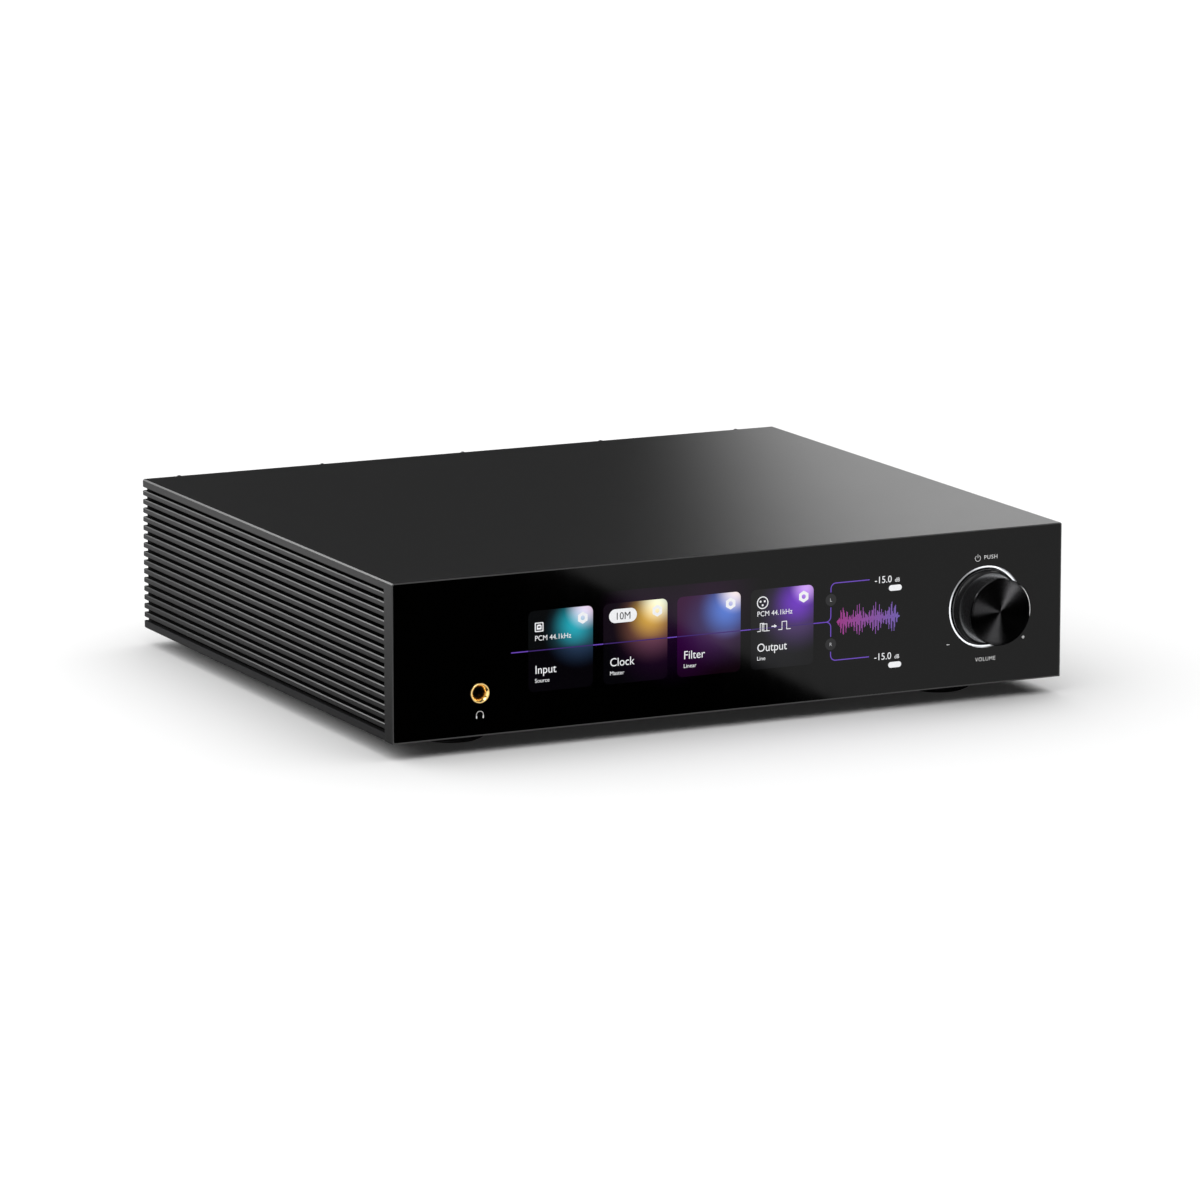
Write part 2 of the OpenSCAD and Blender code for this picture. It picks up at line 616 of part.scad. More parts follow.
// Flat flexible ribbon in a plane x = const, through [y, z] points, w wide
module ribbon(x, w, points, t) {
    translate([x, 0, 0]) rotate([90, 0, 90]) linear_extrude(w)
        polygon(concat(points, [for (i = [len(points) - 1 : -1 : 0]) points[i] + [0, t]]));
}

module signal_ribbons() color("#d9d4c4") {
    ribbon(-20, 30, [[y_proc + board_t, z_mid - 24], [y_proc + 6, z_mid - 26],
        [y_proc + 20, z_floor + 6], [main_y[0] - 20, z_floor + 6],
        [main_y[0] - 4, z_board + board_t + 0.5], [main_y[0] + 6, z_board + board_t]], 0.5);
    ribbon(knob_x - 8, 16, [[y_ctrl + board_t + 4, z_mid - 28], [y_ctrl + 14, z_mid - 29],
        [y_ctrl + 30, z_floor + 6], [main_y[0] - 20, z_floor + 6],
        [main_y[0] - 4, z_board + board_t + 0.5], [main_y[0] + 6, z_board + board_t]], 0.5);
}

// ---------- mains inlet ----------
module mains_inlet() color("#111112") difference() {
    union() {
        plate_y(inlet_xz, [y_back, y_back + inlet_t], inlet_w, inlet_h, 2);
        plate_y(inlet_xz, [y_back - 36, y_back + 0.1], inlet_w - 3.4, inlet_h - 3.4, 1);
    }
    // socket: a box with two cut corners, open to the rear
    translate([inlet_xz[0], y_back + inlet_t + 1, socket_z]) rotate([90, 0, 0])
        linear_extrude(y_back + inlet_t + 1 - y_socket_floor)
            polygon([[-12, -8.3], [12, -8.3], [12, 3.5], [7.2, 8.3], [-7.2, 8.3], [-12, 3.5]]);
    // slot for the fuse drawer
    block([inlet_xz[0] - 10.1, inlet_xz[0] + 10.1], [y_back - 29, y_back + inlet_t + 1],
        [fuse_z - 4.6, fuse_z + 4.6]);
    // well for the rocker
    block([inlet_xz[0] - 10.2, inlet_xz[0] + 10.2], [y_back - 18, y_back + inlet_t + 1],
        [rocker_z - 9.6, rocker_z + 9.6]);
    translate([inlet_xz[0] - 12, y_back - 3, rocker_z]) rotate([0, 90, 0]) cylinder(h = 24, r = 1.25);
}

// Two live blades and the earth blade
module inlet_pins() color("#d0d0d4") {
    for (p = [[-7, -2], [7, -2], [0, 2.2]])
        block([inlet_xz[0] + p[0] - 1, inlet_xz[0] + p[0] + 1], [y_socket_floor, y_back - 1.5],
            [socket_z + p[1] - 2, socket_z + p[1] + 2]);
}

module fuse_drawer() color("#19191b") difference() {
    union() {
        block([inlet_xz[0] - 10, inlet_xz[0] + 10], [y_back - 28, y_back + inlet_t],
            [fuse_z - 4.5, fuse_z + 4.5]);
        block([inlet_xz[0] - 10, inlet_xz[0] + 10], [y_back + inlet_t - 0.1, y_back + inlet_t + 1],
            [fuse_z - 4.5, fuse_z - 1.5]);
    }
    // cradle for the fuse, open upwards
    block([inlet_xz[0] - 3, inlet_xz[0] + 3], [y_back - 26, y_back - 26 + fuse_len],
        [fuse_z - fuse_r, fuse_z + 5]);
}

module fuse() color("#d8dcdc") {
    rod_y([inlet_xz[0], fuse_z], [y_back - 26, y_back - 26 + fuse_len], fuse_r);
}

module power_rocker() color("#0a0a0b") {
    translate([inlet_xz[0], y_back - 3, rocker_z]) rotate([rocker_swing, 0, 0]) {
        translate([-10, 0, 0]) rotate([90, 0, 90]) linear_extrude(20)
            polygon([[5.4, -8.3], [3.9, 0], [5.4, 8.3], [-1, 8], [-5, 4], [-5, -4], [-1, -8]]);
        translate([-11.2, 0, 0]) rotate([0, 90, 0]) cylinder(h = 22.4, r = 1.2);
    }
}

// ---------- audio sockets ----------
module xlr_flange(x) {
    plate_y([x, z_mid], [y_back, y_back + flange[2]], flange[0], flange[1], 2.5);
    rod_y([x, z_mid], [y_back - 20, y_back + 0.1], 11.9);
}

module xlr_screw_holes(x) {
    for (s = [-1, 1])
        rod_y([x + s * 9.5, z_mid + s * 12], [y_back - 21, y_back + 3], 1.6);
}

module xlr_output_sockets() color("#17171a") for (x = xlr_out_x) difference() {
    xlr_flange(x);
    xlr_screw_holes(x);
    rod_y([x, z_mid], [y_back - 16, y_back + 3], xlr_cavity_r);
}

module xlr_output_pins() color("#d9b45a") for (x = xlr_out_x, a = [90, 210, 330])
    rod_y([x + xlr_pin_circle * cos(a), z_mid + xlr_pin_circle * sin(a)],
        [y_back - 16, y_back - 4.2], xlr_pin_r);

// Shell and, apart from it, the core that its barrel holds
module xlr_input_socket() color("#17171a") {
    x = xlr_in_xz[0];
    difference() {
        xlr_flange(x);
        xlr_screw_holes(x);
        rod_y([x, z_mid], [y_back - 21, y_back + 3], xlr_ring_r);
        // slot for the latch
        block([x - 3.3, x + 3.3], [y_back - 17, y_back + 3], [z_mid + 9, z_mid + 12.2]);
    }
    // core with three contact holes, on the base that closes the barrel
    difference() {
        union() {
            rod_y([x, z_mid], [y_back - 20, y_back - 16], xlr_ring_r - 0.05);
            rod_y([x, z_mid], [y_back - 16.1, y_back + 0.8], xlr_cavity_r - 0.25);
        }
        for (a = [90, 210, 330])
            translate([x + xlr_pin_circle * cos(a), y_back + 2, z_mid - xlr_pin_circle * sin(a)])
                rotate([90, 0, 0]) cylinder(h = 14, r = xlr_pin_r + 0.15, $fn = 12);
    }
}

module xlr_latch() color("#9ea0a4") {
    x = xlr_in_xz[0];
    block([x - 3, x + 3], [y_back - 14, y_back + flange[2] + 2.4], [z_mid + 9.9, z_mid + 11.5]);
    block([x - 2, x + 2], [y_back - 6, y_back - 4], [z_mid + 8.9, z_mid + 10]);
}

module rca_shells() color("gold") for (p = rca_xz) turned(p, y_back, [
    [rca_core_r, rca_inside], [4.9, rca_inside], [4.9, 0], [rca_r, -1], [rca_r, 0.4 - rca_len],
    [rca_r - 0.4, -rca_len], [rca_core_r, -rca_len]]);

module rca_insulators() color("#e8e8e8") for (p = rca_xz) difference() {
    rod_y(p, [y_back - rca_inside, y_back + rca_len - 0.5], rca_core_r);
    rod_y(p, [y_back - 8, y_back + rca_len], 1.7);
}

module rca_rings() color("#b01818") for (p = rca_xz) difference() {
    rod_y(p, [y_back, y_back + 1.6], 6.6);
    rod_y(p, [y_back - 1, y_back + 3], 4.95);
}

module clock_socket() color("#c9cacd") {
    difference() {
        union() {
            rod_y(clock_xz, [y_back - 10, y_back + rear_out], clock_r);
            rod_y(clock_xz, [y_back - 10, y_back], 6);
            translate([clock_xz[0], y_back + 2, clock_xz[1]]) rotate([90, 0, 0])
                cylinder(h = 2, r = 8, $fn = 6);
            for (s = [-1, 1]) translate([clock_xz[0], y_back + rear_out - 3.5, clock_xz[1]])
                rotate([0, s * 90, 0]) cylinder(h = clock_r + 1, r = 1);
        }
        rod_y(clock_xz, [y_back + 1, y_back + rear_out + 1], 3.9);
    }
    difference() {
        rod_y(clock_xz, [y_back + 0.9, y_back + rear_out - 2], 2.3);
        rod_y(clock_xz, [y_back + 4, y_back + rear_out], 0.7);
    }
}

module trigger_jacks() color("#0e0e10") for (p = trigger_xz) difference() {
    union() {
        rod_y(p, [y_back - 12, y_back + 0.6], 3);
        rod_y(p, [y_back, y_back + 1], 4.4);
        block([p[0] - 4.5, p[0] + 4.5], [y_back - 15, y_rear_in], [p[1] - 4.5, p[1] + 4.5]);
    }
    rod_y(p, [y_back - 13, y_back + 2], trigger_r);
}

// ---------- data sockets ----------
function hdmi_outline(g) = [[-7 - g, 2.3 + g], [7 + g, 2.3 + g], [7 + g, -0.4], [5.2 + g, -2.3 - g],
    [-5.2 - g, -2.3 - g], [-7 - g, -0.4]];
function usb_outline(g) = [[-4.25 - g, -3.9 - g], [4.25 + g, -3.9 - g], [4.25 + g, 2.2 + g / 2],
    [2.7 + g / 2, 3.9 + g], [-2.7 - g / 2, 3.9 + g], [-4.25 - g, 2.2 + g / 2]];

module sleeve(at, y, outer, inner, floor_t) {
    difference() {
        translate([at[0], y[1], at[1]]) rotate([90, 0, 0])
            linear_extrude(y[1] - y[0]) polygon(outer);
        translate([at[0], y[1] + 1, at[1]]) rotate([90, 0, 0])
            linear_extrude(y[1] - y[0] + 1 - floor_t) polygon(inner);
    }
}

module data_socket_shells() color("#c4c6ca") {
    sleeve(data_xz, [y_back - 11, y_back + 0.6], hdmi_outline(0.5), hdmi_outline(0), 0.6);
    sleeve(usb_xz, [y_back - 15, y_back + 0.8], round_rect(12, 11, 0.4), usb_outline(0), 3);
}

module data_socket_tongues() color("#141416") {
    block([data_xz[0] - 5.6, data_xz[0] + 5.6], [y_back - 10.4, y_back - 1.5],
        [data_xz[1] - 0.3, data_xz[1] + 0.9]);
    block([usb_xz[0] - 2.8, usb_xz[0] + 2.8], [y_back - 12, y_back - 1.5],
        [usb_xz[1] - 1.6, usb_xz[1] + 1.6]);
}

// Optical input: a square body with a cavity, and a flap hinged behind the mouth's upper edge
flap = 6.2;
flap_t = 0.8;
flap_z = optical_xz[1] + 3.4;
y_flap = y_back - 3;
module optical_socket() color("#121214") difference() {
    plate_y(optical_xz, [y_back - 14, y_back + 1], 10, 10, 0.4);
    block([optical_xz[0] - 3.1, optical_xz[0] + 3.1], [y_back - 3, y_back + 2],
        [optical_xz[1] - 3, optical_xz[1] + 2.7]);
    block([optical_xz[0] - 3.3, optical_xz[0] + 3.3], [y_back - 12, y_flap + 0.8],
        [optical_xz[1] - 3, optical_xz[1] + 4.2]);
    translate([optical_xz[0] - 4.2, y_flap, flap_z]) rotate([0, 90, 0]) cylinder(h = 8.4, r = 0.45);
}

module optical_shutter() color("#1c1c20") {
    block([optical_xz[0] - 2.9, optical_xz[0] + 2.9], [y_flap - flap_t / 2, y_flap + flap_t / 2],
        [flap_z - flap, flap_z]);
    translate([optical_xz[0] - 4, y_flap, flap_z]) rotate([0, 90, 0]) cylinder(h = 8, r = 0.4);
}

front_frame();
front_glass();
top_cover();
bottom_plate();
left_side_panel();
right_side_panel();
rear_panel();
corner_brackets();
inner_screws();
rear_screws();
foot_bodies();
foot_pads();
foot_screws();
display_panel();
display_bracket();
processor_board();
volume_knob();
knob_grub_screw();
encoder_shaft();
encoder_rotor();
encoder_body();
encoder_nut();
encoder_plunger();
knob_well();
light_ring();
control_board();
headphone_ferrule();
headphone_jack_body();
headphone_nut();
main_board();
board_standoffs();
power_board();
transformers();
transformer_clamps();
reservoir_capacitors();
regulator_heatsinks();
clock_oven();
relays();
converter_chips();
shield_wall();
mains_wiring();
signal_ribbons();
mains_inlet();
inlet_pins();
fuse_drawer();
fuse();
power_rocker();
xlr_output_sockets();
xlr_output_pins();
xlr_input_socket();
xlr_latch();
rca_shells();
rca_insulators();
rca_rings();
clock_socket();
data_socket_shells();
data_socket_tongues();
optical_socket();
optical_shutter();
trigger_jacks();
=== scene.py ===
"""Looks of the desktop DAC: materials, the lit display, the print on the glass, and the studio."""
import json
import math

import bmesh
import bpy
from mathutils import Matrix, Vector

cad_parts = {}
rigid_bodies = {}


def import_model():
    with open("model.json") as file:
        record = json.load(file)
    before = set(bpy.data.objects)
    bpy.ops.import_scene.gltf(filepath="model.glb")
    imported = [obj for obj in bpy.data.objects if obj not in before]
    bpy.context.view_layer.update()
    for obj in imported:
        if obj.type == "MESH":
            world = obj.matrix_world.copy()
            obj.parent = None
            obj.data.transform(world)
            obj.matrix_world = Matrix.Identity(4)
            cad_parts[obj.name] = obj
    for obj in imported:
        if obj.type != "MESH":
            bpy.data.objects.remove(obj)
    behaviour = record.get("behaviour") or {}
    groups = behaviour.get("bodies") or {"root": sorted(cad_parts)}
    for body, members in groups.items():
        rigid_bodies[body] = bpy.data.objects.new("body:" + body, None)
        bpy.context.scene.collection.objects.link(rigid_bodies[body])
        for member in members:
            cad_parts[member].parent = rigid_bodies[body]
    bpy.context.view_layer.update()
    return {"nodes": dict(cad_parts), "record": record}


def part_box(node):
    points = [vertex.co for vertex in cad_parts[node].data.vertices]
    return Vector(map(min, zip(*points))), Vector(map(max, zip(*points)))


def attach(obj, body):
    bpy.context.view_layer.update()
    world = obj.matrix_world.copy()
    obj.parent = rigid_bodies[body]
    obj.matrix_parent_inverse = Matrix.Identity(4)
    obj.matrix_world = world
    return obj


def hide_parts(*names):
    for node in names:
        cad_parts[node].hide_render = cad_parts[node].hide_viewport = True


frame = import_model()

MM = 0.001

# ---------- places, from the frame ----------
GLASS_LOW, GLASS_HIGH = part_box("front_glass")
RING_LOW, RING_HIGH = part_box("light_ring")
KNOB_LOW, KNOB_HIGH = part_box("volume_knob")
WELL_LOW, WELL_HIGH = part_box("knob_well")
JACK_LOW, JACK_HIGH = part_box("headphone_ferrule")
CASE_LOW, CASE_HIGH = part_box("front_frame")
REAR_LOW, REAR_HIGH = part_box("rear_panel")
FACE_Y = GLASS_LOW[1]
LEFT_X = CASE_LOW[0]
BASE_Z = CASE_LOW[2]
KNOB_X = (KNOB_LOW[0] + KNOB_HIGH[0]) / 2
KNOB_Z = (KNOB_LOW[2] + KNOB_HIGH[2]) / 2
JACK_X = (JACK_LOW[0] + JACK_HIGH[0]) / 2
JACK_Z = (JACK_LOW[2] + JACK_HIGH[2]) / 2
PRINT_T = 0.03 * MM          # thickness of print and of the display's layers
LAYER = 0.02 * MM            # step from one display layer to the next
CAPITAL = 0.729              # capital height of the built-in font, over its size


def on_face(x, z):
    """Place on the glass, x and z in millimetres from its case's lower left corner, in metres."""
    return LEFT_X + x * MM, BASE_Z + z * MM


# ---------- flat shapes on the front ----------
def arc(cx, cz, r, start, end, steps=12):
    """Points of an arc, degrees counted from +x towards +z."""
    angles = [math.radians(start + (end - start) * i / steps) for i in range(steps + 1)]
    return [(cx + r * math.cos(a), cz + r * math.sin(a)) for a in angles]


def circle(cx, cz, r, steps=48):
    return arc(cx, cz, r, 0, 360, steps)[:-1]


def round_rect(x0, z0, x1, z1, r, steps=10):
    return (
        arc(x1 - r, z1 - r, r, 0, 90, steps) + arc(x0 + r, z1 - r, r, 90, 180, steps)
        + arc(x0 + r, z0 + r, r, 180, 270, steps) + arc(x1 - r, z0 + r, r, 270, 360, steps)
    )


def stroke(points, width, closed=False):
    """Outline of a line of that width through the points, with mitred corners."""
    count = len(points)
    left, right = [], []
    for i, (x, z) in enumerate(points):
        before = points[i - 1] if closed or i > 0 else None
        after = points[(i + 1) % count] if closed or i < count - 1 else None
        ahead = Vector((after[0] - x, after[1] - z)).normalized() if after else None
        behind = Vector((x - before[0], z - before[1])).normalized() if before else None
        along = ((ahead or behind) + (behind or ahead)).normalized()
        side = Vector((-along.y, along.x))
        turn = side.dot(Vector((-(ahead or behind).y, (ahead or behind).x)))
        reach = width / 2 / max(turn, 0.4)
        left.append((x + side.x * reach, z + side.y * reach))
        right.append((x - side.x * reach, z - side.y * reach))
    if closed:
        return [left, right[::-1]]
    return [left + right[::-1]]


def curve_mesh(curve, y):
    """Mesh of a flat curve or text, its front on the plane y."""
    holder = bpy.data.objects.new("outline", curve)
    bpy.context.scene.collection.objects.link(holder)
    graph = bpy.context.evaluated_depsgraph_get()
    mesh = bpy.data.meshes.new_from_object(holder.evaluated_get(graph))
    bpy.data.objects.remove(holder)
    bpy.data.curves.remove(curve)
    depth = max(v.co.z for v in mesh.vertices)
    mesh.transform(Matrix.Translation((0, y + depth, 0)) @ Matrix.Rotation(math.pi / 2, 4, "X"))
    return mesh


def flat(loops, y, thickness=PRINT_T):
    """Plate from closed loops of (x, z) in metres, holes included, its front on the plane y."""
    curve = bpy.data.curves.new("loops", "CURVE")
    curve.dimensions = "2D"
    curve.fill_mode = "BOTH"
    curve.extrude = thickness / 2
    for loop in loops:
        spline = curve.splines.new("POLY")
        spline.points.add(len(loop) - 1)
        for point, (x, z) in zip(spline.points, loop):
            point.co = (x, z, 0, 1)
        spline.use_cyclic_u = True
    return curve_mesh(curve, y)


def words(body, x, z, height, y, align="LEFT", spread=1.0, narrow=1.0):
    """Flat lettering with its baseline's start, middle or end at x, z. height is its capitals'."""
    curve = bpy.data.curves.new("words", "FONT")
    curve.body = body
    curve.size = height / CAPITAL
    curve.align_x = align
    curve.space_character = spread
    curve.extrude = PRINT_T / 2
    curve.resolution_u = 4
    mesh = curve_mesh(curve, y)
    mesh.transform(Matrix.Translation((x, 0, z)) @ Matrix.Diagonal((narrow, 1, 1, 1)))
    return mesh


# ---------- pieces ----------
def joined(meshes):
    """One mesh from several."""
    made = bmesh.new()
    for mesh in meshes:
        made.from_mesh(mesh)
        bpy.data.meshes.remove(mesh)
    bmesh.ops.remove_doubles(made, verts=made.verts, dist=1e-7)
    bmesh.ops.recalc_face_normals(made, faces=made.faces)
    mesh = bpy.data.meshes.new("made")
    made.to_mesh(mesh)
    made.free()
    return mesh


def piece(name, meshes, material, body="root"):
    """Object from meshes, with a material, riding on a body."""
    mesh = joined(meshes)
    mesh.name = name
    made = bpy.data.objects.new(name, mesh)
    bpy.context.scene.collection.objects.link(made)
    mesh.materials.append(material)
    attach(made, body)
    return made


def lathe(centre, profile, steps=192):
    """Solid of revolution about Y. profile is a closed loop of (radius, y), in metres."""
    made = bmesh.new()
    rings = []
    for radius, y in profile:
        if radius < 1e-7:
            rings.append([made.verts.new((centre[0], y, centre[1]))])
            continue
        rings.append([
            made.verts.new((
                centre[0] + radius * math.cos(2 * math.pi * i / steps), y,
                centre[1] + radius * math.sin(2 * math.pi * i / steps),
            ))
            for i in range(steps)
        ])
    for here, there in zip(rings, rings[1:] + rings[:1]):
        if len(here) == 1 and len(there) == 1:
            continue
        for i in range(steps):
            j = (i + 1) % steps
            if len(here) == 1:
                made.faces.new((here[0], there[i], there[j]))
            elif len(there) == 1:
                made.faces.new((here[i], here[j], there[0]))
            else:
                made.faces.new((here[i], here[j], there[j], there[i]))
    bmesh.ops.recalc_face_normals(made, faces=made.faces)
    mesh = bpy.data.meshes.new("lathe")
    made.to_mesh(mesh)
    made.free()
    return mesh


def smooth_by_angle(made, degrees=30):
    """Smooth shading, with edges sharper than the angle kept sharp."""
    mesh = made.data
    for face in mesh.polygons:
        face.use_smooth = True
    shape = bmesh.new()
    shape.from_mesh(mesh)
    for edge in shape.edges:
        if len(edge.link_faces) == 2:
            edge.smooth = edge.calc_face_angle(0) < math.radians(degrees)
    shape.to_mesh(mesh)
    shape.free()


# ---------- materials ----------
def start(name):
    """New node material, its tree and its shader."""
    material = bpy.data.materials.new(name)
    material.use_nodes = True
    tree = material.node_tree
    shader = tree.nodes["Principled BSDF"]
    return material, tree, shader


def add(tree, kind, values=None, **settings):
    """New node of that kind. values go to its inputs: numbers as they are, sockets as links."""
    node = tree.nodes.new("ShaderNode" + kind)
    for name, value in settings.items():
        setattr(node, name, value)
    for name, value in (values or {}).items():
        if isinstance(value, bpy.types.NodeSocket):
            tree.links.new(value, node.inputs[name])
        else:
            node.inputs[name].default_value = value
    return node


def place(tree, stretch=(1, 1, 1)):
    """Object coordinates, in metres, stretched."""
    here = add(tree, "TexCoord").outputs["Object"]
    return add(tree, "Mapping", {"Vector": here, "Scale": stretch}).outputs["Vector"]


def noise(tree, vector, scale, detail=3, roughness=0.55):
    return add(tree, "TexNoise", {
        "Vector": vector, "Scale": scale, "Detail": detail, "Roughness": roughness,
    }).outputs["Fac"]


def remap(tree, value, low, high, to_low, to_high, smooth=False):
    return add(tree, "MapRange", {
        "Value": value, "From Min": low, "From Max": high, "To Min": to_low, "To Max": to_high,
    }, interpolation_type="SMOOTHSTEP" if smooth else "LINEAR").outputs["Result"]


def blend_colour(tree, factor, first, second, mode="MIX"):
    """Mix of two colours. A Mix node's colour sockets are its inputs 6 and 7, and its output 2."""
    node = add(tree, "Mix", data_type="RGBA", blend_type=mode)
    for socket, value in ((node.inputs[0], factor), (node.inputs[6], first), (node.inputs[7], second)):
        if isinstance(value, bpy.types.NodeSocket):
            tree.links.new(value, socket)
        else:
            socket.default_value = value
    return node.outputs[2]


def rgb(*values):
    return (*values, 1.0)


def finish(name, colour, metallic=0.0, rough=(0.4, 0.5), grain=1500.0, bump=0.1, tone=0.25,
           stretch=(1, 1, 1), wear=0.0, coat=0.0):
    """Material with grain: noise moves its colour, roughness and surface; wear lightens its edges."""
    material, tree, shader = start(name)
    fine = noise(tree, place(tree, stretch), grain)
    broad = noise(tree, place(tree), grain / 60, 2)
    dark = [c * (1 - tone) for c in colour]
    light = [c * (1 + tone) for c in colour]
    paint = blend_colour(tree, fine, rgb(*dark), rgb(*light))
    if wear:
        edges = add(tree, "NewGeometry").outputs["Pointiness"]
        worn = remap(tree, edges, 0.52, 0.60, 0, wear)
        paint = blend_colour(tree, worn, paint, rgb(*[min(1, c * 4 + 0.05) for c in colour]))
    tree.links.new(paint, shader.inputs["Base Color"])
    mixed = add(tree, "Math", {0: broad, 1: 0.12, 2: fine}, operation="MULTIPLY_ADD").outputs[0]
    tree.links.new(remap(tree, mixed, 0.36, 0.76, *rough), shader.inputs["Roughness"])
    relief = add(tree, "Bump", {"Height": fine, "Strength": bump, "Distance": 0.0001})
    tree.links.new(relief.outputs["Normal"], shader.inputs["Normal"])
    shader.inputs["Metallic"].default_value = metallic
    shader.inputs["Coat Weight"].default_value = coat
    return material


GLASS_COLOUR = (0.0003, 0.0003, 0.0003)
GLASS_ROUGH = 0.04


def glass_surface(tree, shader):
    """Black polished glass with faint smears, for the front and for what shows through it."""
    smears = noise(tree, place(tree, (1, 1, 0.3)), 60, 2)
    rough = remap(tree, smears, 0.3, 0.7, GLASS_ROUGH * 0.8, GLASS_ROUGH * 1.3)
    tree.links.new(rough, shader.inputs["Roughness"])
    shader.inputs["Base Color"].default_value = rgb(*GLASS_COLOUR)
    shader.inputs["Specular IOR Level"].default_value = 0.5
    shader.inputs["IOR"].default_value = 1.5


def glass_material():
    material, tree, shader = start("front_glass")
    tint = noise(tree, place(tree), 300, 2)
    glass_surface(tree, shader)
    shades = blend_colour(tree, tint, rgb(0.0002, 0.0002, 0.0002), rgb(0.0004, 0.0004, 0.0004))
    tree.links.new(shades, shader.inputs["Base Color"])
    return material


def lit(name, colour, strength=1.0, spread=0.12):
    """Lit display element under the glass, slightly uneven."""
    material, tree, shader = start(name)
    glass_surface(tree, shader)
    cells = noise(tree, place(tree), 900, 2)
    low = [c * (1 - spread) for c in colour]
    high = [c * (1 + spread) for c in colour]
    glow = blend_colour(tree, cells, rgb(*low), rgb(*high))
    tree.links.new(glow, shader.inputs["Emission Color"])
    shader.inputs["Emission Strength"].default_value = strength
    return material


def glowing_pale_ink():
    """Ink printed on the glass, with a painted glow: painted light that makes the print brighter."""
    ink = finish("glowing_pale_ink", (0.70, 0.70, 0.70), rough=(0.35, 0.5), grain=4000, bump=0.05, tone=0.08)
    shader = ink.node_tree.nodes["Principled BSDF"]
    # Painted light: the ink glows a little on top of its own pale colour.
    shader.inputs["Emission Color"].default_value = rgb(1, 1, 1)
    shader.inputs["Emission Strength"].default_value = 0.24
    return ink


def distance_from(tree, x, z):
    """Distance from a place on the front, seen square on."""
    here = add(tree, "TexCoord").outputs["Object"]
    parts = add(tree, "SeparateXYZ", {0: here})
    dx = add(tree, "Math", {0: parts.outputs["X"], 1: x}, operation="SUBTRACT").outputs[0]
    dz = add(tree, "Math", {0: parts.outputs["Z"], 1: z}, operation="SUBTRACT").outputs[0]
    both = add(tree, "CombineXYZ", {"X": dx, "Y": dz, "Z": 0.0})
    return add(tree, "VectorMath", {0: both.outputs[0]}, operation="LENGTH").outputs["Value"]


def halo(tree, x, z, reach, colour):
    """Colour that fades from a place on the front to nothing at reach."""
    far = distance_from(tree, x, z)
    near = remap(tree, far, 0, reach, 1, 0, smooth=True)
    return blend_colour(tree, near, rgb(0, 0, 0), rgb(*colour))


def sum_colours(tree, colours):
    total = colours[0]
    for colour in colours[1:]:
        total = blend_colour(tree, 1.0, total, colour, "ADD")
    return total


GROUND_X = (72, 326)         # extent of the lit panel
GROUND_Z = (16, 76)
GROUND_R = 2
CARD_X = (84.3, 131.5, 178.4, 225.6)     # left edges of the display's cards
CARD_W = 40.6
CARD_Z = (22.2, 69.0)
CARD_R = 3.4
LINE_Z = 46.0


def glow_of(tree, left, glows, ground):
    """Halos placed by (x, z) in millimetres from a card's lower left corner, over a faint ground."""
    halos = [
        halo(tree, *on_face(left + x, CARD_Z[0] + z), reach * MM, colour) for x, z, reach, colour in glows
    ]
    grain = noise(tree, place(tree), 2500, 1)
    base = blend_colour(tree, grain, rgb(*[c * 0.8 for c in ground]), rgb(*ground))
    return sum_colours(tree, halos + [base])


def card_material(name, left, above, below):
    """Card face, bright above the signal line and dimmer below it."""
    material, tree, shader = start(name)
    glass_surface(tree, shader)
    bright = glow_of(tree, left, *above)
    dim = glow_of(tree, left, *below)
    here = add(tree, "TexCoord").outputs["Object"]
    up = add(tree, "SeparateXYZ", {0: here}).outputs["Z"]
    line = on_face(0, LINE_Z)[1]
    share = remap(tree, up, line - 1.5 * MM, line + 2.5 * MM, 0.0, 1.0, smooth=True)
    tree.links.new(blend_colour(tree, share, dim, bright), shader.inputs["Emission Color"])
    shader.inputs["Emission Strength"].default_value = 1.0
    return material


# ---------- the display ----------
# Its places were measured on the photo through the camera below, in millimetres on the glass.
SCREEN_Y = FACE_Y - 0.01 * MM
CARD_Y = SCREEN_Y - LAYER
MARK_Y = CARD_Y - LAYER
WHITE = (0.90, 0.91, 0.93)
VIOLET = (0.16, 0.07, 0.52)


def card_outline(left):
    x0, z0 = on_face(left, CARD_Z[0])
    x1, z1 = on_face(left + CARD_W, CARD_Z[1])
    return round_rect(x0, z0, x1, z1, CARD_R * MM)
